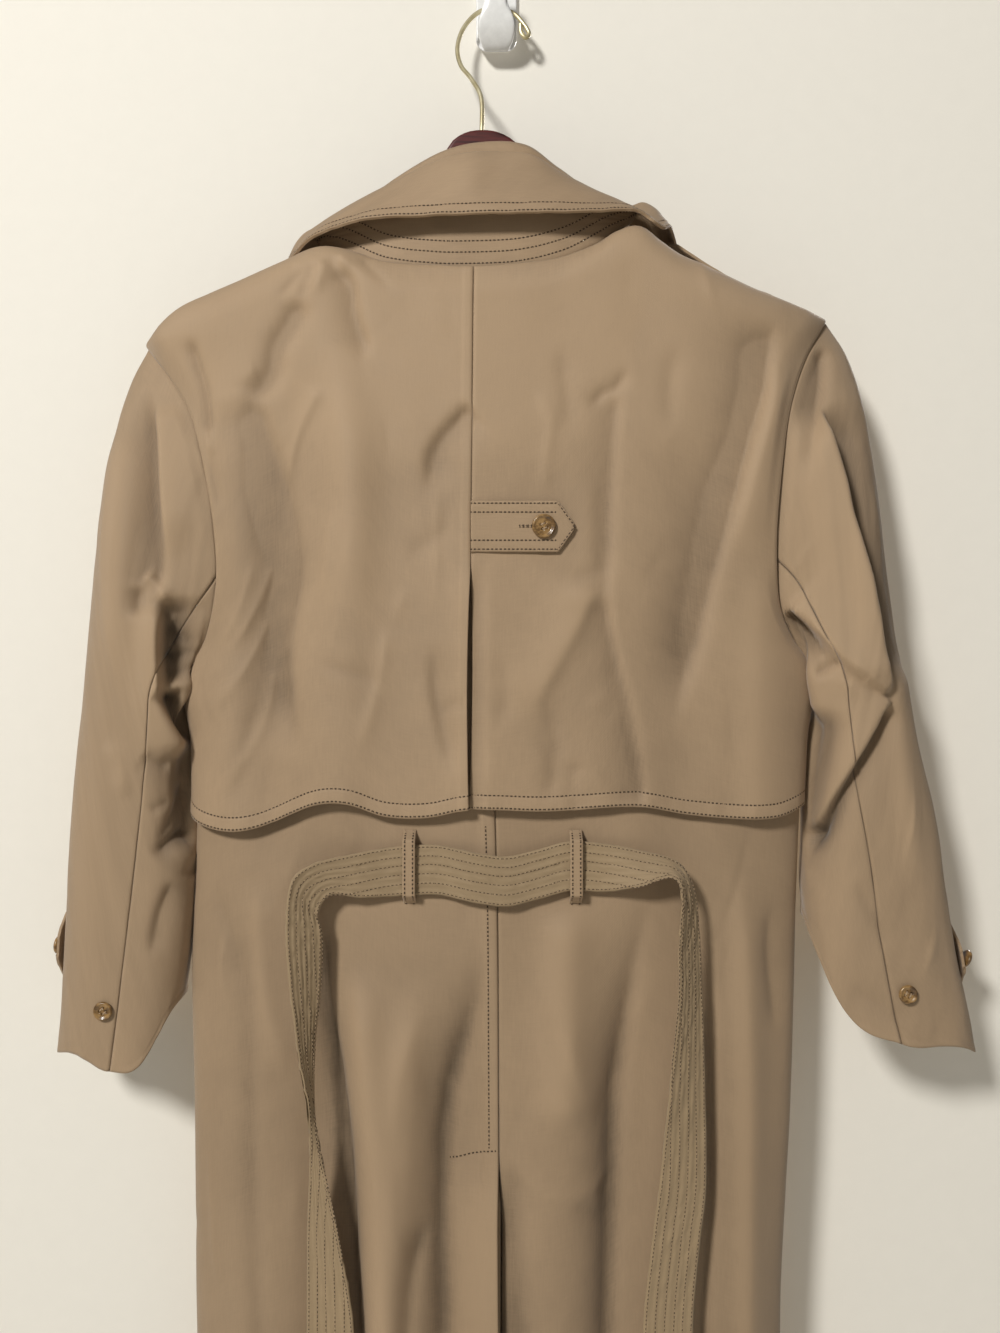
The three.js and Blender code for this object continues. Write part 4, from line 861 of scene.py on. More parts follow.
for side, way in SIDES.items():
    back = Cloth(back_surface(side, back_centre), spread(88, (0.03, 8), (0.02, 4)),
                 spread(150, (0.54, 40), (0.03, 12)), -way)
    x, z = back.x.copy(), back.z.copy()
    height = creases(x, z, SKIRT_CREASES) * smooth(back.start / 20)
    height += faint_creases(x, z, 46, 10 + SIDE_SEED[side], (-235, 235, -1340, -690), 0.8, 7, 150, 0.25)
    height += ripples(x, z, (1.8, 62, 2, 3.0), (0.6, 30, 3, 2.5))
    height += seam_dip(back.end) + seam_dip(back.top)
    below = vent_share(z)
    height += seam_dip(back.start) * (1 - below)
    if side == "left":
        height += 0.7 * smooth((12 - back.start) / 3) * (1 - below)
        height += FLAP["turn"] * below * smooth((FLAP["turn_wide"] - back.start) / FLAP["turn_soft"])
    else:
        height -= FLAP["sink"] * below * np.exp(-(back.start / FLAP["sink_wide"]) ** 2)
    height += hem_band(back.bottom, HEM["coat"], x, 0.5)
    back.lift(height)
    lines = [back.inset("bottom", HEM["coat"])]
    if side == "left":
        lines.append(back.inset("start", VENT_SEAM["beside"], 0.3, 0.55))
        row = int(np.argmin(np.abs(back.z[:, 0] - VENT_TOP)))
        across = np.linspace(*VENT_SEAM["across"], 60)
        columns = np.interp(across, back.start[row], np.arange(back.start.shape[1]))
        lines.append((row + across / VENT_SEAM["slant"], columns))
    sew("back_" + side, back, (0.30, 1.17), back_finish, share=0.83, lines=lines)

UNDERLAP = {"from": -36, "to": -0.8, "gap": 1.6}


def underlap_surface(u, v):
    z = mix(VENT_TOP, HEM_Z + 4, v)
    x = back_centre(z) + mix(UNDERLAP["from"], UNDERLAP["to"], u)
    return on_back(x, z, np.full(u.shape, -CLOTH - UNDERLAP["gap"]))


underlap = Cloth(underlap_surface, spread(10), spread(80), -1)
valleys = np.minimum(creases(underlap.x, underlap.z, SKIRT_CREASES), 0)
underlap.lift(ripple(underlap.x, underlap.z, 12, 8) * 0.2 + hem_band(underlap.bottom, HEM["coat"], underlap.x)
              + valleys, -2.5)
# The underlap wears the darker copy of the gabardine, painted shade for its place behind the vent.
sew("vent_underlap", underlap, (0.035, 0.44), under_shaded_finish)
print("back halves and vent done")

# %% [markdown]
# The storm yoke is a loose flap over the shoulders. Its halves are sewn together down to the tab and
# part below it. Its hem stands off the back and waves, and its creases run down from the collar and
# from the armholes.

# %% Storm yoke
YOKE_CREASES = table(CREASE,
    (-9.3, 26, 9, 0.1, 0.2, 1.7, [(-191, -332), (-183, -355), (-175, -379), (-169, -402), (-163, -424),
        (-159, -443), (-155, -464), (-155, -481), (-159, -504), (-162, -526), (-159, -560), (-150, -613)]),
    (-7.6, 9, 8, 0.15, 0.3, 1.6, [(-146, -263), (-154, -282), (-165, -300), (-169, -319), (-178, -331),
        (-190, -331), (-196, -323)]),
    (-2.6, 4.5, 4, 0.15, 0.5, 1.3, [(-146, -242), (-156, -254), (-168, -266)]),
    (-2.4, 4, 4, 0.15, 0.5, 1.3, [(-136, -237), (-144, -254), (-148, -275)]),
    (2.2, 4, 4, 0.15, 0.5, 1.5, [(-130, -237), (-135, -254), (-139, -266)]),
    (-2.6, 4, 4.5, 0.1, 0.5, 1.3, [(-125, -234), (-119, -246), (-115, -258)]),
    (2, 4, 4, 0.1, 0.5, 1.5, [(-119, -232), (-112, -243), (-106, -254)]),
    (-5.5, 12, 4, 0.15, 0.3, 1.5, [(-114, -237), (-109, -258), (-106, -279), (-100, -300), (-103, -316)]),
    (-1.6, 4, 4, 0.1, 0.5, 1.5, [(-104, -234), (-89, -248), (-76, -263)]),
    (4.1, 14, 20, 0.3, 0.3, 2, [(-125, -288), (-114, -341), (-109, -402), (-110, -462), (-118, -523)]),
    (-4.6, 5, 4, 0.15, 0.3, 1.5, [(-234, -290), (-227, -313), (-221, -334), (-218, -360), (-217, -379)]),
    (2.4, 4, 5, 0.3, 0.4, 1.5, [(-221, -359), (-218, -371), (-218, -385)]),
    (-1.8, 4, 4, 0.3, 0.4, 1.5, [(-219, -383), (-214, -402), (-209, -428)]),
    (3, 9, 4, 0.1, 0.4, 1.3, [(-130, -331), (-148, -368), (-162, -412)]),
    (1.3, 3, 5, 0.3, 0.4, 1.3, [(-119, -421), (-125, -455), (-128, -496)]),
    (2, 4, 9, 0.2, 0.3, 1.3, [(-82, -511), (-90, -560), (-106, -607)]),
    (-5.8, 5, 16, 0.1, 0.4, 1.6, [(-17, -346), (-31, -360), (-43, -375), (-49, -396), (-51, -417)]),
    (1, 3, 4, 0.3, 0.3, 1.3, [(-45, -394), (-45, -447), (-45, -507)]),
    (-1.9, 9, 9, 0.3, 0.4, 1.6, [(-23, -435), (-45, -446), (-71, -464)]),
    (-3.9, 4, 12, 0.3, 0.3, 1.4, [(-48, -523), (-44, -572), (-30, -628)]),
    (-1.4, 3, 3, 0.1, 0.4, 1.4, [(-21, -571), (-33, -572), (-44, -579)]),
    (1.7, 5, 4, 0.2, 0.3, 1.3, [(-165, -453), (-180, -491), (-204, -538)]),
    (1.6, 4, 5, 0.2, 0.3, 1.3, [(-169, -498), (-193, -547), (-221, -585)]),
    (1.8, 5, 5, 0.2, 0.3, 1.3, [(-166, -529), (-177, -583), (-212, -647)]),
    (1.4, 4, 5, 0.2, 0.3, 1.3, [(-184, -462), (-198, -507), (-213, -530)]),
    (-2.1, 8, 8, 0.3, 0.3, 1.8, [(-177, -560), (-193, -613), (-199, -655)]),
    (-10.2, 26, 6, 0.1, 0.25, 1.5, [(214, -276), (204, -305), (201, -332), (189, -370), (172, -432),
        (162, -470), (150, -523), (139, -562), (130, -594)]),
    (4.2, 9, 18, 0.3, 0.3, 2, [(216, -296), (211, -349), (196, -402), (184, -462)]),
    (-3.6, 5, 4.5, 0.3, 0.3, 1.3, [(100, -316), (91, -332), (80, -337), (69, -350)]),
    (-4.4, 15, 4, 0.1, 0.15, 1.5, [(91, -335), (87, -394), (84, -458), (81, -497)]),
    (-5.1, 18, 3, 0.1, 0.1, 1.4, [(80, -485), (89, -534), (100, -579), (108, -625), (109, -653)]),
    (4.4, 26, 6, 0.15, 0.3, 1.4, [(76, -480), (59, -517), (37, -556), (23, -585)]),
    (-2.8, 8, 7, 0.3, 0.2, 1.6, [(37, -563), (45, -604), (39, -648)]),
    (-1.9, 8, 8, 0.3, 0.4, 1.8, [(137, -296), (131, -334), (133, -371)]),
    (-1.8, 5, 9, 0.3, 0.4, 1.5, [(48, -296), (53, -341), (59, -371)]),
    (4.1, 16, 24, 0.2, 0, 2, [(202, -462), (201, -530), (199, -653)]),
    (-1.5, 6, 6, 0.3, 0.3, 1.4, [(1, -530), (7, -560), (3, -594)]),
    (1.3, 4, 4, 0.3, 0.3, 1.3, [(48, -334), (37, -394), (39, -447)]),
    (-2, 7, 7, 0.2, 0.1, 1.6, [(60, -613), (56, -636), (60, -653)]))
# Creases stay off the area under the tab (x from, x to, z from, z to), and the upper yoke puffs out.
TAB_AREA, TAB_SOFT, TAB_PRESS = (-44, 80, -476, -400), 14, 0.85
PUFF = {"high": 3, "round": 22, "z": -420, "soft": 60}
SLIT = {"z": -462, "long": 190, "soft": 30, "rise": 1.6, "rise_wide": 26, "sink": 3.6, "sink_wide": 16,
        "open": 1.9, "open_wide": 8}
YOKE_PRESS = 0.75
for side, way in SIDES.items():
    yoke = Cloth(yoke_surface(side), spread(104, (0.04, 14), (0.02, 4)),
                 spread(118, (0.02, 4), (0.055, 20)), -way)
    x, z = yoke.x.copy(), yoke.z.copy()
    lower = smooth((yoke.v - YOKE_LIFT["from"]) / (1 - YOKE_LIFT["from"]))
    lift = CLOTH + YOKE_LIFT["top"] + YOKE_LIFT["hem"] * (1 - YOKE_LIFT["side_share"] * yoke.u ** 3) * lower
    x_low, x_high, z_low, z_high = TAB_AREA
    under_tab = smooth((x - x_low) / TAB_SOFT) * smooth((x_high - x) / TAB_SOFT)
    under_tab = under_tab * smooth((z - z_low) / TAB_SOFT) * smooth((z_high - z) / TAB_SOFT)
    height = creases(x, z, YOKE_CREASES) * smooth(yoke.end / 12) * (1 - TAB_PRESS * under_tab)
    inside = smooth(yoke.top / PUFF["round"]) * smooth(yoke.end / PUFF["round"])
    height += PUFF["high"] * inside * smooth((z - PUFF["z"]) / PUFF["soft"])
    height += faint_creases(x, z, 60, 20 + SIDE_SEED[side], (-225, 225, -640, -250), 0.7, 5, 80, 0.6)
    height += ripples(x, z, (1.3, 64, 5, 1.8), (0.4, 30, 6, 1.6))
    slit = smooth((SLIT["z"] - z) / SLIT["soft"])
    if side == "left":
        height += slit * SLIT["rise"] * smooth((SLIT["rise_wide"] - yoke.start) / (SLIT["rise_wide"] - 4))
        height += 0.5 * smooth((9 - yoke.start) / 3)
    else:
        height -= slit * SLIT["sink"] * smooth((SLIT["sink_wide"] - yoke.start) / (SLIT["sink_wide"] - 2))
    height += seam_dip(yoke.start) * (1 - slit) + seam_dip(yoke.top)
    height += seam_dip(yoke.end, 0.9, 1.5) * smooth((z + 560) / 40)
    height += hem_band(yoke.bottom, HEM["yoke"], x, 0.6)
    yoke.lift(np.maximum(height, -lift * YOKE_PRESS), lift)
    gape = slit * np.sin(np.pi * np.clip((SLIT["z"] - z) / SLIT["long"], 0, 1))
    yoke.points[..., 0] += way * SLIT["open"] * gape * np.exp(-yoke.start / SLIT["open_wide"])
    lines = [yoke.inset("bottom", HEM["yoke"]), yoke.inset("bottom", 1.6)]
    sew("yoke_" + side, yoke, (0.30, 0.47), lines=lines, share=0.77)
print("storm yoke done")

# %% [markdown]
# The fronts lap over each other and button up. They hang against the wall, so they are finished
# plainly: edge stitching, soft folds and the lapels laid back.

# %% Fronts and lapels
FRONT_CREASES = table(CREASE,
    (-6, 18, 9, 0.2, 0, 1.6, [(-150, -560), (-158, -760), (-150, -1000), (-156, -1345)]),
    (5, 14, 18, 0.3, 0, 2, [(-112, -700), (-104, -900), (-110, -1345)]),
    (-5, 9, 16, 0.2, 0, 1.6, [(128, -540), (140, -800), (132, -1050), (140, -1345)]),
    (5, 16, 14, 0.3, 0, 2, [(178, -640), (186, -900), (180, -1345)]),
    (-4, 12, 7, 0.2, 0.2, 1.5, [(-205, -420), (-190, -520), (-196, -700), (-204, -900)]),
    (-4, 7, 12, 0.2, 0.3, 1.5, [(200, -420), (186, -520), (190, -680), (204, -880)]),
    (-4, 12, 6, 0.3, 0, 1.6, [(30, -900), (22, -1100), (28, -1345)]),
    (4, 10, 12, 0.3, 0, 2, [(66, -880), (70, -1100), (66, -1345)]))
for side, way in SIDES.items():
    front = Cloth(front_surface(side), spread(44, (0.03, 6), (0.02, 4)), spread(110, None, (0.03, 8)), way)
    x, z = front.x.copy(), front.z.copy()
    height = creases(x, z, FRONT_CREASES) * smooth(front.end / 20)
    height += faint_creases(x, z, 40, 30 + SIDE_SEED[side], (-230, 230, -1340, -330), 0.7, 7, 130, 0.3)
    height += ripple(x, z, 44, 9, stretch=2.2) * 0.7 + hem_band(front.bottom, HEM["coat"], x, 0.5)
    height += seam_dip(front.end) + seam_dip(front.top)
    front.lift(height - 0.4)
    lines = [front.inset("bottom", HEM["coat"]), front.inset("start", HEM["front"], 0.35, 1)]
    sew("front_" + side, front, (0.33, 1.24), lines=lines, share=0.83)

LAPEL = {"gap": 0.6, "tip_lift": 2,
         "left": {"tip_x": -158, "tip_z": -292, "gorge_z": -262, "foot_z": -325, "flat": (0.067, 0.12),
                  "share": 0.35},
         "right": {"tip_x": 150, "tip_z": -284, "gorge_z": -240, "foot_z": -428, "flat": (0.10, 0.27),
                   "share": 0.46}}
for side, way in SIDES.items():
    size = LAPEL[side]

    def lapel_surface(u, v):
        z = mix(size["foot_z"], size["gorge_z"], v)
        roll = front_edge(side, z)
        x = mix(roll, mix(roll, size["tip_x"], smooth(v * 1.1) ** 0.8), u)
        share = np.clip((x - roll) / (side_x[side](z) - roll), 0, 1)
        rest = body_depth["front"](z) * section_share(side, np.clip(x / side_x[side](z), 0, 1), z) + MID_Y
        y = rest + LAPEL["gap"] + DOUBLE + LAPEL["tip_lift"] * share
        return point(x, y, z + (size["tip_z"] - size["gorge_z"]) * u * v * v)
    lapel = Cloth(lapel_surface, spread(20), spread(36), -way)
    lapel.lift(ripple(lapel.x, lapel.z, 16, 41) * 0.3 * smooth(lapel.start / 10))
    sew("lapel_" + side, lapel, size["flat"], double_finish, DOUBLE, share=size["share"],
        lines=[lapel.inset("end", 6, 0.2, 0.96), lapel.inset("bottom", 6, 0.1, 0.95)])
print("fronts and lapels done")

# %% [markdown]
# A sleeve is a top and an under piece. The folds at the underarm are deep, because the arm hangs
# straight down from a coat that was cut to reach forward.

# %% Sleeves
RIGHT_SLEEVE_CREASES = table(CREASE,
    (11.7, 34, 3, 0.15, 0.12, 1.5, [(249, -337), (260, -377), (267, -404), (271, -427), (277, -447),
        (283, -473), (287, -492), (291, -522), (294, -544), (299, -566)]),
    (-13, 3, 26, 0.15, 0.15, 1.6, [(253, -337), (263, -375), (270, -402), (274, -425), (280, -446),
        (287, -472), (290, -492), (294, -522), (297, -544), (302, -564)]),
    (-6.1, 12, 5, 0.1, 0.35, 1.5, [(257, -291), (250, -335), (242, -373), (235, -409)]),
    (7.2, 34, 3, 0.05, 0.2, 1.4, [(299, -566), (285, -594), (265, -629), (247, -663), (231, -683)]),
    (-8.9, 3, 9, 0.1, 0.15, 1.4, [(301, -569), (288, -597), (268, -632), (250, -666), (234, -686)]),
    (7.8, 3, 18, 0.1, 0.1, 1.4, [(224, -495), (242, -510), (262, -535), (280, -552), (299, -566)]),
    (-13, 16, 2.5, 0.05, 0.5, 1.5, [(225, -501), (237, -515), (250, -532), (260, -541)]),
    (-6, 3, 3, 0.2, 0.2, 1.4, [(262, -539), (253, -544), (244, -548)]),
    (-2, 6, 4, 0.3, 0.3, 1.5, [(273, -705), (288, -731), (304, -760)]),
    (3.4, 10, 10, 0.3, 0.3, 2, [(302, -492), (307, -568), (313, -637), (321, -722)]),
    (-2.3, 10, 10, 0.3, 0.3, 1.6, [(268, -787), (294, -802), (319, -821)]),
    (-10.4, 18, 14, 0.15, 0.25, 2, [(251, -572), (248, -614), (241, -660), (230, -706)]))
LEFT_SLEEVE_CREASES = table(CREASE,
    (-8.8, 14, 4, 0.25, 0.1, 1.4, [(-271, -323), (-267, -361), (-263, -400), (-259, -438), (-257, -461),
        (-258, -492)]),
    (6, 3, 26, 0.15, 0.3, 1.4, [(-264, -338), (-259, -369), (-256, -407), (-252, -438), (-248, -463)]),
    (5.2, 4, 6, 0.1, 0.3, 1.4, [(-268, -473), (-261, -478), (-254, -486), (-251, -496)]),
    (-5.2, 6, 6, 0.3, 0.4, 1.4, [(-271, -480), (-272, -495), (-271, -509)]),
    (8.8, 14, 3, 0.1, 0.2, 1.4, [(-253, -495), (-258, -522), (-257, -561), (-250, -582), (-239, -603),
        (-229, -626)]),
    (-4, 4, 5, 0.15, 0.3, 1.4, [(-251, -509), (-242, -519), (-227, -528)]),
    (-4, 4, 5, 0.1, 0.3, 1.4, [(-255, -534), (-242, -534), (-225, -532)]),
    (-5.2, 5, 6, 0.1, 0.2, 1.4, [(-258, -561), (-248, -567), (-238, -568)]),
    (-12.5, 5, 10, 0.1, 0.2, 1.8, [(-254, -562), (-244, -585), (-235, -608), (-229, -633)]),
    (-12, 4, 22, 0.2, 0.2, 2, [(-253, -489), (-251, -515), (-250, -538), (-248, -561)]),
    (-8.8, 14, 8, 0.2, 0.3, 2, [(-244, -599), (-237, -645), (-238, -691)]),
    (-4, 8, 5, 0.3, 0.3, 1.5, [(-270, -609), (-258, -617), (-246, -619)]),
    (-6.2, 5, 10, 0.1, 0.3, 1.5, [(-227, -671), (-246, -676), (-264, -689)]),
    (-3, 4, 5, 0.1, 0.3, 1.4, [(-227, -697), (-235, -700), (-238, -709)]),
    (2.7, 6, 8, 0.3, 0.3, 1.5, [(-303, -603), (-287, -614), (-283, -645)]),
    (-2, 3, 4, 0.3, 0.3, 1.4, [(-265, -654), (-254, -649), (-248, -645)]),
    (4.4, 14, 14, 0.2, 0.3, 2, [(-287, -354), (-290, -461), (-290, -568)]),
    (-3.1, 4, 6, 0.2, 0.2, 1.4, [(-235, -628), (-239, -645), (-248, -660), (-259, -679)]),
    (-3.8, 4, 10, 0.2, 0.3, 1.5, [(-248, -706), (-259, -737), (-264, -768)]))
SLEEVE_CREASES = {"left": LEFT_SLEEVE_CREASES, "right": RIGHT_SLEEVE_CREASES}
BACK_FACE = {"from": 3, "soft": 16}
SLEEVE_PARTS = {"top": {"across": spread(96, (0.54, 30), (0.02, 4)), "flat": (0.33, 0.56), "share": 0.6},
                "under": {"across": spread(44, (0.03, 4), (0.03, 2)), "flat": (0.15, 0.40), "share": 0.45}}
for side, way in SIDES.items():
    for part, size in SLEEVE_PARTS.items():
        sleeve = Cloth(sleeve_surface(side, part), size["across"], spread(158, (0.02, 4), (0.03, 8)), way)
        x, z = sleeve.x.copy(), sleeve.z.copy()
        faces_back = smooth((SLEEVE["mid_y"] + BACK_FACE["from"] - sleeve.y) / BACK_FACE["soft"])
        height = creases(x, z, SLEEVE_CREASES[side]) * faces_back * smooth(sleeve.top / 14)
        height += faint_creases(x, z, 44, 51 + len(side + part), (-345, 378, -850, -300), 0.9, 6, 80, 0.5)
        height += ripples(sleeve.start, sleeve.top, (1.1, 34, 13, 1.8), (0.2, 12, 14, 1.4))
        height += seam_dip(sleeve.top, 0.9, 1.5) + seam_dip(sleeve.start) + seam_dip(sleeve.end)
        height += hem_band(sleeve.bottom, HEM["cuff"], sleeve.start, 0.2)
        sleeve.lift(height)
        sew(f"sleeve_{side}_{part}", sleeve, size["flat"], share=size["share"])
print("sleeves done")

# %% [markdown]
# The collar is a stand, sewn to the neck, and a fall that folds down over it. Three rows of stitches
# stiffen the stand and two run along the edge of the fall.

# %% Collar
COLLAR = table("nx nz ny fx fz fy ex ez ey",
    (-107, -240, -25, -107, -224, -25, -150, -296, -6),
    (-124, -226, -36, -129, -204, -35, -181, -262, -10),
    (-135, -217, -52, -146, -201, -50, -172, -229, -44),
    (-132, -217, -68, -138, -198, -62, -160, -223, -68),
    (-117, -222, -78, -109, -186, -72, -138, -212, -88),
    (-86, -235, -90, -75, -170, -80, -100, -206, -103),
    (-50, -239, -95, -43, -157, -85, -60, -205, -107),
    (-17, -239, -96, -12, -151, -86, -15, -204, -108),
    (18, -237, -95, 22, -152, -85, 32, -202, -107),
    (52, -230, -91, 48, -164, -80, 76, -199, -102),
    (80, -217, -83, 76, -178, -75, 108, -195, -92),
    (97, -205, -74, 102, -186, -66, 128, -203, -82),
    (107, -195, -58, 115, -178, -54, 141, -198, -58),
    (101, -201, -42, 107, -181, -38, 152, -218, -13),
    (88, -224, -25, 88, -207, -25, 138, -280, -6))


def ribbon(rows, a, b):
    """A strip through the rows of a table, between its edge a and its edge b."""
    numbered = [dict(row, t=i / (len(rows) - 1)) for i, row in enumerate(rows)]
    first, second = ([curve(numbered, "t", edge + axis) for axis in "xyz"] for edge in (a, b))
    return lambda u, v: point(*(mix(p(v), q(v), u) for p, q in zip(first, second)))


collar_table = ribbon(COLLAR, "n", "f")


STAND = {"in": 1.2, "up": 3.4, "back_y": -60, "soft": 15, "low": -0.16, "high": 1.14}
FALL = {"heart": (-15, -78), "front_y": -64, "soft": 18, "fold": 6, "round": 11, "round_front": 4}


def stand_surface(u, v):
    """The stand's foot sits a little inside and above the neck seam that the table follows."""
    p = collar_table(u, v)
    p[..., 1] += STAND["in"] * smooth((STAND["back_y"] - p[..., 1]) / STAND["soft"]) * (1 - u)
    p[..., 2] += STAND["up"] * (1 - u)
    return p


def fall_surface(u, v):
    fold = stand_surface(np.ones_like(u), v) + np.array([0, 0, DOUBLE + FALL["fold"] * SEAM])
    at_front = smooth((fold[..., 1] - FALL["front_y"]) / FALL["soft"])[..., None]
    out = np.stack([fold[..., 0] - FALL["heart"][0], fold[..., 1] - FALL["heart"][1], 0 * u], -1)
    out /= np.linalg.norm(out, axis=-1, keepdims=True)
    start = fold + out * mix(-DOUBLE, DOUBLE + 4 * SEAM, at_front)
    corner = fold + out * (FALL["round"] + FALL["round_front"] * at_front)
    leaf = ribbon(COLLAR, "e", "e")(0 * u, v)
    u = u[..., None]
    return mix(mix(start, corner, u), mix(corner, leaf, u), u)


stand = Cloth(lambda u, v: stand_surface(mix(STAND["low"], STAND["high"], u), v), spread(30), spread(150), -1)
stand.points[..., 1] += np.where(stand.y < -70, 3.0 * smooth((0.12 - stand.u) / 0.1), 0)
stand.measure()
stand.lift(ripple(stand.top, stand.start, 12, 61) * 0.25 - 0.3 * np.cos(stand.u * 7 * np.pi) ** 8)
sew("collar_stand", stand, (0.05, 0.41), double_finish, DOUBLE, share=0.88,
    lines=[stand.inset("start", d, 0.16, 0.84) for d in (13, 22, 31)])
fall = Cloth(fall_surface, spread(34, None, (0.1, 8)), spread(170), 1)
fall.lift(ripples(fall.top, fall.start, (0.8, 30, 62, 1), (0.15, 11, 63, 1))
          + hem_band(fall.end, 9, fall.top, 0.3))
sew("collar_fall", fall, (0.09, 0.58), double_finish, DOUBLE, share=0.6,
    lines=[fall.inset("end", d, 0.01, 0.99) for d in (1.8, 9)])
print("collar done")

# %% [markdown]
# The small pieces are cut double and stitched along their edges: the back tab, the epaulettes, the
# sleeve straps and the belt loops.

# %% Tab, epaulettes, straps and loops
BACK_TAB = {"x": -18.9, "square": 46.5, "tip": 58.2, "z": -437.8, "half": 19, "narrow": 0.86, "lift": 9.8}
BUTTONHOLE = {"from": 0.47, "to": 0.6, "columns": (18.4, 19.6)}


def pointed(v, long, narrow):
    """Share of the width that is left towards a pointed end."""
    return 1 - narrow * np.clip((v - 1 + long) / long, 0, 1)


def tab_surface(u, v):
    x = mix(BACK_TAB["x"], BACK_TAB["tip"], v)
    past = np.clip((x - BACK_TAB["square"]) / (BACK_TAB["tip"] - BACK_TAB["square"]), 0, 1)
    z = BACK_TAB["z"] + mix(BACK_TAB["half"], -BACK_TAB["half"], u) * (1 - BACK_TAB["narrow"] * past)
    return on_back(x, z, np.full(u.shape, BACK_TAB["lift"]))


tab = Cloth(tab_surface, spread(38), spread(70), 1)
hole_rows = np.linspace(BUTTONHOLE["from"], BUTTONHOLE["to"], 30) * (len(tab.v) - 1)
tab.lift(hem_band(np.minimum(tab.start, tab.end), 2, tab.top, 0.3) + ripple(tab.x, tab.z, 9, 71) * 0.15)
sew("back_tab", tab, (0.038, 0.08), double_finish, DOUBLE, share=0.93,
    lines=[tab.inset("start", 1.8), tab.inset("start", 8.5, 0, 0.82), tab.inset("end", 8.5, 0, 0.82),
           tab.inset("end", 1.8)] + [(hole_rows, np.full(30, column)) for column in BUTTONHOLE["columns"]])

EPAULETTE = {"from": 0.05, "deep": 22, "lift": 2.9, "rise": 0.35,
             "left": {"outer": -268, "inner": -186, "tip_lift": 0, "stand_off": 0},
             "right": {"outer": 254, "inner": 127, "tip_lift": 11, "stand_off": 9}}
for side, way in SIDES.items():
    size = EPAULETTE[side]

    def epaulette_surface(u, v):
        x = mix(size["outer"], size["inner"], v)
        share = mix(0.5, u, pointed(v, 0.14, 0.85))
        z = top_z(x) - EPAULETTE["from"] - EPAULETTE["deep"] * share ** 2
        return body_point("front", side, x, z, np.clip(x / side_x[side](z), 0, 1), (top_y(x), top_z(x)))
    flap = Cloth(epaulette_surface, spread(34), spread(60), way)
    flap.lift(hem_band(np.minimum(flap.start, flap.end), 2, flap.top, 0.25), EPAULETTE["lift"])
    flap.points[..., 2] += size["tip_lift"] * smooth((flap.v - EPAULETTE["rise"]) / (1 - EPAULETTE["rise"]))
    flap.points[..., 2] += size["stand_off"] * smooth(flap.v / EPAULETTE["rise"])
    sew("epaulette_" + side, flap, (0.05, 0.12), double_finish, DOUBLE, share=0.74,
        lines=[flap.inset("start", 2), flap.inset("end", 2), flap.inset("start", 8, 0, 0.85)])

STRAP = {"from": -2.35, "to": 0.12, "share": 0.09, "tip_lift": 2,
         "left": {"at": 0.845, "lift": 4}, "right": {"at": 0.85, "lift": 4.6}}
for side, way in SIDES.items():
    size = STRAP[side]

    def strap_surface(u, v):
        angle = mix(STRAP["from"], STRAP["to"], v)
        at = size["at"] + STRAP["share"] * (u - 0.5) * pointed(v, 0.1, 0.7)
        base = sleeve_point(side, angle, at)
        out = base - sleeve_point(side, angle + math.pi, at)
        out /= np.linalg.norm(out, axis=-1, keepdims=True)
        return base + out * (size["lift"] + STRAP["tip_lift"] * smooth((v - 0.7) / 0.3))[..., None]
    strap = Cloth(strap_surface, spread(26), spread(90), -way)
    strap.lift(hem_band(np.minimum(strap.start, strap.end), 2, strap.top, 0.25))
    sew("cuff_strap_" + side, strap, (0.045, 0.16), double_finish, DOUBLE, share=0.7,
        lines=[strap.inset("start", 2), strap.inset("end", 2)])

LOOP = {"wide": 9.5, "top": -667, "bottom": -723, "gap": 0.6, "bridge": 9.9, "foot": 0.14,
        "left": -65.5, "right": 60.5}
for side in SIDES:
    def loop_surface(u, v):
        bridge = smooth(v / LOOP["foot"]) * smooth((1 - v) / LOOP["foot"])
        x = LOOP[side] + (u - 0.5) * LOOP["wide"]
        return on_back(x, mix(LOOP["top"], LOOP["bottom"], v), CLOTH + LOOP["gap"] + LOOP["bridge"] * bridge)
    loop = Cloth(loop_surface, spread(12), spread(70), -1)
    sew("belt_loop_" + side, loop, (0.010, 0.068), double_finish, CLOTH,
        lines=[loop.inset("start", 1.8), loop.inset("end", 1.8)])
print("small pieces done")

# %% [markdown]
# The belt is stiffened by rows of stitches along its whole length, which pucker it. It lies across the
# back through two loops, and both ends turn over and hang down.

# %% Belt
BELT = table("ax az ay bx bz by",
    (-143, -1240, -113, -105, -1240, -113), (-143, -1140, -112, -105, -1140, -112.5),
    (-142, -1038, -108, -106, -1038, -111), (-142, -967, -106, -117, -967, -114),
    (-138, -884, -117, -133, -890, -113), (-144, -838, -122, -136, -841, -108),
    (-152, -780, -123, -131, -778, -107), (-155, -738, -121, -130, -745, -107),
    (-152, -703, -117, -133, -729, -107), (-136, -690, -112, -124, -715, -106),
    (-108, -684, -105, -103, -717, -105), (-84, -680, -100, -83, -717, -101),
    (-62, -678, -99.5, -62, -716, -100), (-42, -678, -99.5, -42, -716, -100.5),
    (-17, -683, -102, -17, -721, -103), (8, -686, -102, 8, -724, -103),
    (32, -681, -100, 32, -719, -101), (56, -675, -99.5, 56, -713, -100),
    (84, -677, -100, 84, -713, -102), (108, -681, -104, 108, -707, -112),
    (134, -688, -106, 130, -699, -119), (148, -706, -107, 137, -713, -124),
    (153, -742, -107, 135, -748, -124), (155, -785, -107, 135, -785, -122),
    (157, -850, -107, 129, -850, -118), (158, -930, -107, 122, -926, -112),
    (153, -977, -107, 116, -977, -110), (148, -1038, -107, 110, -1038, -109),
    (147, -1140, -107, 109, -1140, -109), (147, -1232, -107, 109, -1232, -109))
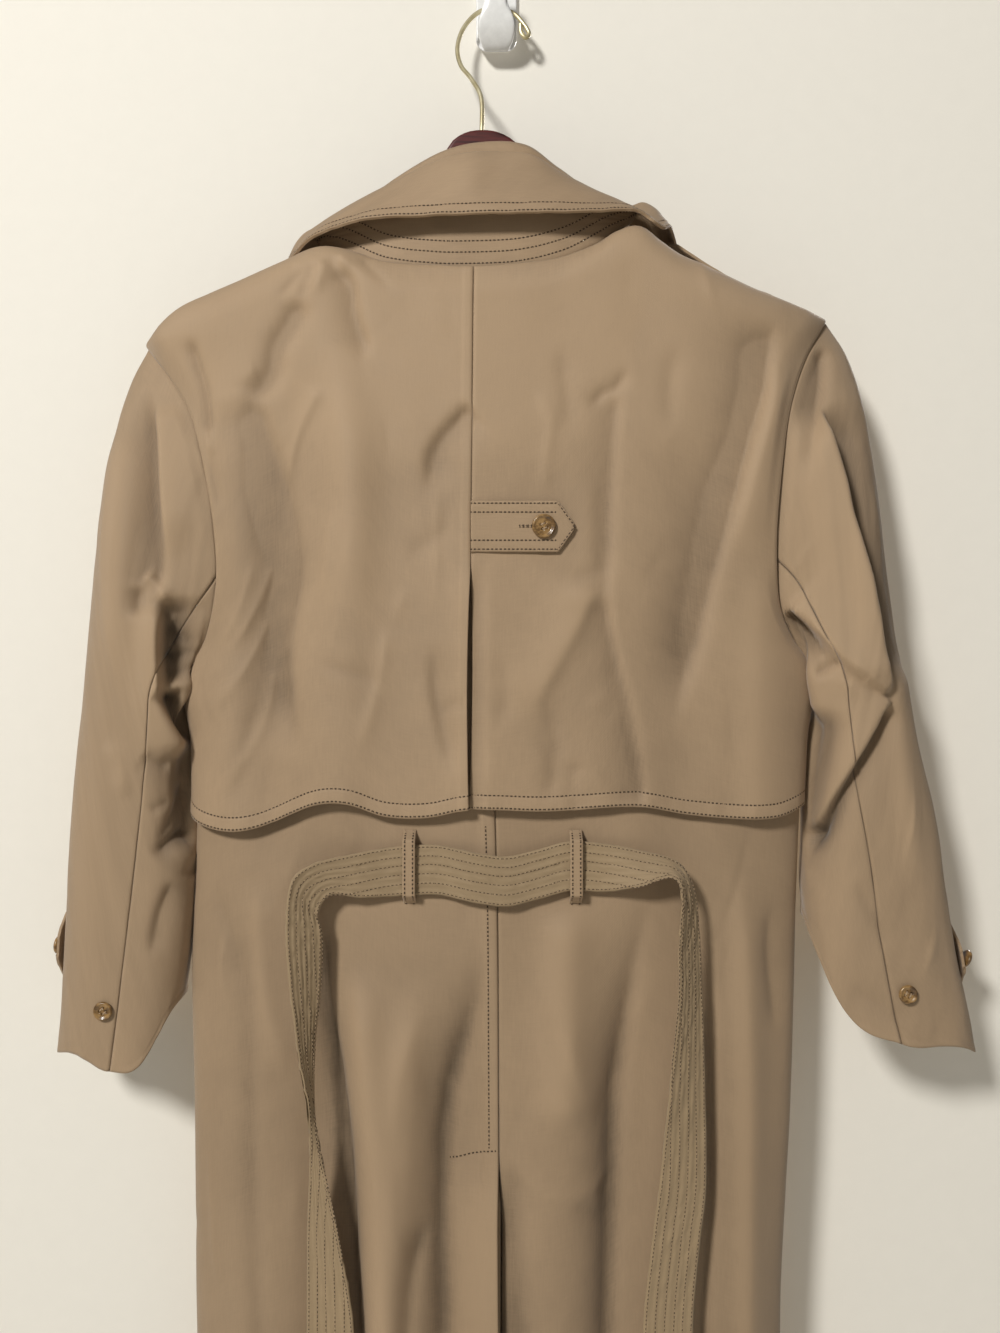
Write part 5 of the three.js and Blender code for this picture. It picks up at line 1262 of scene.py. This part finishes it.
belt = Cloth(ribbon(BELT, "a", "b"), spread(28), spread(600), 1)
BELT_PUCKER = 0.5
rows_of_stitches = np.cos(belt.u * 7 * np.pi) ** 2
belt.lift(BELT_PUCKER * (1 - rows_of_stitches ** 3) * (1 + ripple(belt.top, belt.start, 4.5, 81))
          + ripple(belt.top, belt.start, 16, 82) * 0.4)
sew("belt", belt, (0.038, 1.38), belt_finish, 2.2,
    lines=[belt.inset("start", d) for d in (2, 8.5, 15, 22, 29)] + [belt.inset("end", 2)],
    hole_shade_size=0.5)
print("belt done")

# %% [markdown]
# A sew-on button is turned on a lathe: a rim round a shallow dish with four holes. Two crossings of
# thread hold it down.

# %% Buttons
BUTTON = {"small": 7.2, "large": 9.0, "hole": 0.85, "spacing": 1.75, "dish": 1.85, "turns": 64,
          "first_turn": 0.4, "next_turn": 0.37}
THREAD = {"round": 0.28, "apart": 0.25, "low": 1.0, "high": 2.2}


def tube(name, lines, radius, finish, resolution=3):
    """Smooth round threads or wires along lists of points."""
    made = bpy.data.curves.new(name, "CURVE")
    made.dimensions = "3D"
    made.bevel_depth = radius
    made.bevel_resolution = resolution
    made.use_fill_caps = True
    for line in lines:
        spline = made.splines.new("NURBS")
        spline.points.add(len(line) - 1)
        for p, q in zip(spline.points, line):
            p.co = (*q, 1)
        spline.use_endpoint_u = True
        spline.order_u = min(4, len(line))
        spline.resolution_u = 6
    made.materials.append(finish.material)
    return add_object(name, made)


def button_mesh(radius):
    """Rings of the dished profile. The four holes are dimples pressed into the dish."""
    profile = [(radius - 1.2, 0), (radius - 0.3, 0.5), (radius, 1.2), (radius - 0.15, 2.1),
               (radius - 0.8, 2.9), (radius - 1.5, 2.95), (radius - 2.3, 2.2), (radius - 3.0, 1.9)]
    dish = [(r, BUTTON["dish"]) for r in np.linspace(radius - 3.3, 0.15, 12)]
    turns, gap = BUTTON["turns"], BUTTON["spacing"]
    angles = np.arange(turns) * 2 * np.pi / turns
    rings = np.array([[(r * math.cos(a), r * math.sin(a), h) for a in angles] for r, h in profile + dish])
    for hole_x, hole_y in [(a * gap, b * gap) for a in (-1, 1) for b in (-1, 1)]:
        away = np.hypot(rings[..., 0] - hole_x, rings[..., 1] - hole_y)
        inside = smooth((BUTTON["hole"] + 0.35 - away) / 0.5)
        rings[..., 2] -= (rings[..., 2] > 1.8) * 1.3 * inside
    points = np.concatenate([rings.reshape(-1, 3), [[0, 0, BUTTON["dish"]], [0, 0, 0.1]]])
    number = np.arange(len(rings) * turns).reshape(-1, turns)
    after = np.roll(number, -1, axis=1)
    quads = np.stack([number[:-1], after[:-1], after[1:], number[1:]], -1).reshape(-1, 4)
    centre = np.full(turns, len(points) - 1)
    dish_cap = np.stack([number[-1], after[-1], centre - 1], -1)
    back_cap = np.stack([after[0], number[0], centre], -1)
    return points, quads, np.concatenate([dish_cap, back_cap])


def button(node, radius, tilt):
    """A button lies on its solid's own axis, and faces away from the cloth it is sewn to."""
    corners = np.array([v.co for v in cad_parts[node].data.vertices])
    middle = corners.mean(0)
    facing = np.linalg.svd(corners - middle)[2][2]
    if abs(facing[1]) > 0.7:
        facing = facing * np.sign(facing[1]) * (-1 if middle[1] < -0.05 else 1)
    elif abs(facing[2]) > 0.7:
        facing = facing * np.sign(facing[2])
    else:
        facing = facing * np.sign(facing[0]) * np.sign(middle[0])
    turn = np.array(Vector((0, 0, 1)).rotation_difference(Vector(facing)).to_matrix())
    spin = np.array([[math.cos(tilt), -math.sin(tilt), 0], [math.sin(tilt), math.cos(tilt), 0], [0, 0, 1]])
    base = middle - facing * ((corners - middle) @ facing).max()

    def put(points):
        return (np.array(points) @ spin.T) @ turn.T * MM + base
    points, quads, caps = button_mesh(radius)
    is_smooth = np.ones(len(quads) + len(caps), bool)
    made = build_mesh(node + "_turned", put(points), [caps, quads], [horn.material], is_smooth)
    place_piece(made, horn, node)
    gap, low, high = BUTTON["spacing"], THREAD["low"], THREAD["high"]
    lines = [put([(-gap, y, low), (-gap * 0.7, y, high), (gap * 0.7, y, high), (gap, y, low)])
             for y in (row * gap + strand * THREAD["apart"] for row in (-1, 1) for strand in (-1, 1))]
    place_piece(tube(node + "_thread", lines, THREAD["round"] * MM, thread_finish), thread_finish)


buttons = sorted(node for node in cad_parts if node.startswith("button"))
for number, node in enumerate(buttons):
    size = "large" if node.startswith(("button_back_tab", "button_front")) else "small"
    button(node, BUTTON[size], BUTTON["first_turn"] + BUTTON["next_turn"] * number)
print(len(buttons), "buttons turned")

# %% [markdown]
# The buckle waits behind the end of the belt. It is cast in one piece, with a bar and no prong.

# %% Buckle
def bevelled(name, outlines, deep, finish, bevel, place=(0, 0, 0), segments=3):
    """A flat plate in the x-z plane with rounded edges; the first outline is outside, others are holes."""
    made = bpy.data.curves.new(name, "CURVE")
    made.dimensions = "2D"
    made.fill_mode = "BOTH"
    made.extrude = deep / 2 - bevel
    made.bevel_depth = bevel
    made.bevel_resolution = segments
    made.offset = -bevel
    for outline in outlines:
        spline = made.splines.new("POLY")
        spline.points.add(len(outline) - 1)
        for p, (x, z) in zip(spline.points, outline):
            p.co = (x, z, 0, 1)
        spline.use_cyclic_u = True
    made.materials.append(finish.material)
    drawn = add_object(name, made)
    drawn.rotation_euler = (math.pi / 2, 0, 0)
    drawn.location = place
    bpy.context.view_layer.update()
    mesh = bpy.data.meshes.new_from_object(drawn.evaluated_get(bpy.context.evaluated_depsgraph_get()))
    mesh.transform(drawn.matrix_world)
    bpy.data.objects.remove(drawn)
    mesh.polygons.foreach_set("use_smooth", np.ones(len(mesh.polygons), bool))
    return add_object(name, mesh)


def rounded_box(cx, cz, wide, tall, radius, steps=6):
    corners = []
    for k, (sx, sz) in enumerate(((1, 1), (-1, 1), (-1, -1), (1, -1))):
        for i in range(steps + 1):
            a = (k + i / steps) * math.pi / 2
            corners.append((cx + sx * (wide / 2 - radius) + radius * math.cos(a),
                            cz + sz * (tall / 2 - radius) + radius * math.sin(a)))
    return corners


def metres(outline):
    return [(x * MM, z * MM) for x, z in outline]


BUCKLE = {"x": -124, "z": -1236, "wide": 56, "tall": 50, "rim": 5.5, "bar": 5, "thick": 3, "y": -106.9}
slot = (BUCKLE["tall"] - 2 * BUCKLE["rim"] - BUCKLE["bar"]) / 2
outlines = [rounded_box(BUCKLE["x"], BUCKLE["z"], BUCKLE["wide"], BUCKLE["tall"], 3)]
for way in (1, -1):
    outlines.append(rounded_box(BUCKLE["x"], BUCKLE["z"] + way * (BUCKLE["bar"] + slot) / 2,
                                BUCKLE["wide"] - 2 * BUCKLE["rim"], slot, 1.5)[::-1])
buckle = bevelled("buckle_cast", [metres(o) for o in outlines], BUCKLE["thick"] * MM, horn, 0.8 * MM,
                  (0, (BUCKLE["y"] - BUCKLE["thick"] / 2) * MM, 0))
place_piece(buckle, horn, "belt_buckle")
print("buckle done")

# %% [markdown]
# The hanger is sawn from a board and rounded, so it is a thin arch with sloping arms. Its wire is bent
# into a hook whose end curls up.

# %% Hanger
WOOD = table("x top bottom", (-212, -259.4, -286), (-160, -237.4, -268), (-120, -225.4, -254),
             (-80, -198, -238), (-48, -150, -228), (-34, -126, -224), (-11.5, -118, -222), (12, -125, -221),
             (34, -150, -221), (66, -188, -224), (104, -214, -240), (150, -239, -265), (198, -260, -284))
WOOD_Y, WOOD_THICK = -56, 10
along = np.linspace(WOOD[0]["x"], WOOD[-1]["x"], 91)
wood_top, wood_bottom = curve(WOOD, "x", "top"), curve(WOOD, "x", "bottom")
outline = [(x, float(wood_top(x))) for x in along] + [(x, float(wood_bottom(x))) for x in along[::-1]]
hanger = bevelled("hanger_board", [metres(outline)], WOOD_THICK * MM, wood, 2.4 * MM, (0, WOOD_Y * MM, 0), 4)
place_piece(hanger, wood, "hanger_wood")

WIRE = [(-11.5, -56, -150), (-11.5, -55, -118), (-12, -49, -88), (-20, -40, -68), (-29, -31, -52),
        (-32, -25, -34), (-27, -20, -15), (-15, -17, -0.6), (0, -16.5, 3), (13, -17, -0.6), (22, -18, -10),
        (27, -19, -19), (24, -20, -23), (20.5, -20, -19), (20, -20, -12)]
wire_line = np.stack(line_through(WIRE, np.linspace(0, len(WIRE) - 1, 90)), -1) * MM
wire = tube("hanger_hook", [wire_line], 1.8 * MM, brass, 6)
place_piece(wire, brass, "hanger_wire")
print("hanger done")

# %% [markdown]
# The wall hook is moulded in one piece. Its spoon-shaped face is widest below the wire and narrows
# to a prong above it.

# %% Wall hook
HOOK = {"wide": 34, "tall": 60, "rise": 6, "plate": 4, "rounding": 1.3}
# The outline of the arm seen from the side, as (y, z), from the plate's foot round and back to it.
HOOK_PROFILE = [(-3, -22), (-14, -31), (-25, -20), (-30, -6), (-32, 8), (-31, 18), (-29, 22), (-26.5, 20),
                (-25, 9), (-21.5, 1.5), (-19, -0.4), (-14, -0.4), (-9, 2), (-3, 14)]
SPOON = table("z half", (-34, 5), (-31, 10.5), (-24, 14.5), (-16, 15.5), (-9, 13.5), (-3, 9), (1, 8),
              (12, 7.5), (20, 6.5), (23, 3.5))
plate = bevelled("hook_plate", [metres(rounded_box(0, HOOK["rise"], HOOK["wide"], HOOK["tall"], 9, 10))],
                 HOOK["plate"] * MM, plastic, 1.0 * MM, (0, -HOOK["plate"] / 2 * MM, 0))
place_piece(plate, plastic, "wall_hook")

half_width = curve(SPOON, "z", "half")
outer = np.stack(line_through(HOOK_PROFILE, np.linspace(0, len(HOOK_PROFILE) - 1, 90)), -1)
tangent = np.gradient(outer, axis=0)
inward = np.stack([-tangent[:, 1], tangent[:, 0]], -1)
inward /= np.linalg.norm(inward, axis=1, keepdims=True)
if np.einsum("ij,ij->i", inward, outer.mean(0) - outer).sum() < 0:
    inward = -inward
arm_points = []
for share in np.linspace(-1, 1, 25):
    rounding = HOOK["rounding"] * (1 - math.sqrt(max(0, 1 - abs(share) ** 4)))
    ring = outer + inward * rounding
    arm_points.append(np.stack([share * half_width(outer[:, 1]), ring[:, 0], ring[:, 1]], -1))
arm_points = np.array(arm_points)
number = np.arange(arm_points.size // 3).reshape(arm_points.shape[:2])
after = np.roll(number, -1, axis=1)
quads = np.stack([number[:-1], after[:-1], after[1:], number[1:]], -1).reshape(-1, 4)
shape = bmesh.new()
verts = [shape.verts.new(p) for p in arm_points.reshape(-1, 3) * MM]
for quad in quads:
    shape.faces.new([verts[i] for i in quad])
for side_ring in (number[0], number[-1]):
    cap = shape.faces.new([verts[i] for i in side_ring])
    bmesh.ops.triangulate(shape, faces=[cap])
bmesh.ops.recalc_face_normals(shape, faces=shape.faces)
arm_mesh = bpy.data.meshes.new("hook_arm")
shape.to_mesh(arm_mesh)
shape.free()
arm_mesh.materials.append(plastic.material)
for face in arm_mesh.polygons:
    face.use_smooth = len(face.vertices) == 4
place_piece(add_object("hook_arm", arm_mesh), plastic)
print("wall hook done")

# %% [markdown]
# The coat hangs before a pale wall, over a pale floor. The wall only receives shadows: it is left out
# of indirect light, and its back is clear, so the coat can be looked at from every side.

# %% Wall and floor
ROOM = {"wide": 4, "wall": 0.0006, "floor": -1.75, "top": 2.5, "deep": 5}


def stage_plane(name, corners, colour):
    darker = tuple(c * 0.985 for c in colour[:3]) + (1,)
    finish = simple_finish(name, None, (60.0, 4.0, 0.6), [(0.3, darker), (0.7, colour)],
                           (0.85, 0.1), (0.25, 0.0006))
    clear = finish.node("ShaderNodeBsdfTransparent")
    behind = finish.node("ShaderNodeNewGeometry", out="Backfacing")
    mixed = finish.node("ShaderNodeMixShader", None, behind, Value(finish, finish.shader.outputs[0]), clear)
    finish.tree.links.new(mixed.socket, finish.tree.nodes["Material Output"].inputs["Surface"])
    made = build_mesh(name, corners, [np.array([[0, 1, 2, 3]])], [finish.material], [True])
    return made


wide, deep, low, top = ROOM["wide"], ROOM["deep"], ROOM["floor"], ROOM["top"]
upright = [(-wide, low), (wide, low), (wide, top), (-wide, top)]
level = [(-wide, -deep), (wide, -deep), (wide, deep), (-wide, deep)]
wall = stage_plane("wall", [(x, ROOM["wall"], z) for x, z in upright], rgb(238, 234, 224))
stage_plane("floor", [(x, y, low) for x, y in level], rgb(226, 222, 212))
wall.visible_shadow = wall.visible_diffuse = wall.visible_glossy = wall.visible_transmission = False
print("wall and floor set")

# %% [markdown]
# Soft light comes from the upper left of the camera, with a weak fill from the right and from above,
# so the folds are modelled and the shadows on the wall fall to the right.

# %% Light
def area_light(name, place, target, size, power, colour=(1, 0.97, 0.93)):
    data = bpy.data.lights.new(name, "AREA")
    data.shape = "DISK"
    data.size, data.energy, data.color = size, power, colour
    made = add_object(name, data)
    made.location = place
    made.rotation_euler = (Vector(target) - Vector(place)).to_track_quat("-Z", "Y").to_euler()


area_light("key", (-1.75, -2.95, 1.45), (0, 0, -0.6), 0.7, 130, (1, 0.985, 0.955))
area_light("fill", (2.2, -2.6, -0.1), (0, 0, -0.7), 2.6, 2)
area_light("rear_key", (1.6, 2.4, 0.8), (0, 0, -0.7), 1.0, 55)
area_light("rear_fill", (-2.0, 2.0, -0.4), (0, 0, -0.7), 2.0, 18)
world = bpy.data.worlds.new("room")
bpy.context.scene.world = world
world.use_nodes = True
background = world.node_tree.nodes["Background"]
background.inputs["Color"].default_value = (1.0, 0.975, 0.94, 1)
background.inputs["Strength"].default_value = 0.17
bpy.context.scene.view_settings.view_transform = "Standard"
print("lights set")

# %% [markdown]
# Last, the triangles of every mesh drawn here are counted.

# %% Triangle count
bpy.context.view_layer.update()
count = {name: sum(len(p.vertices) - 2 for p in made.data.polygons)
         for name, made in shown.items() if made.type == "MESH"}
print("triangles in all", sum(count.values()), "most", max(count, key=count.get), max(count.values()))
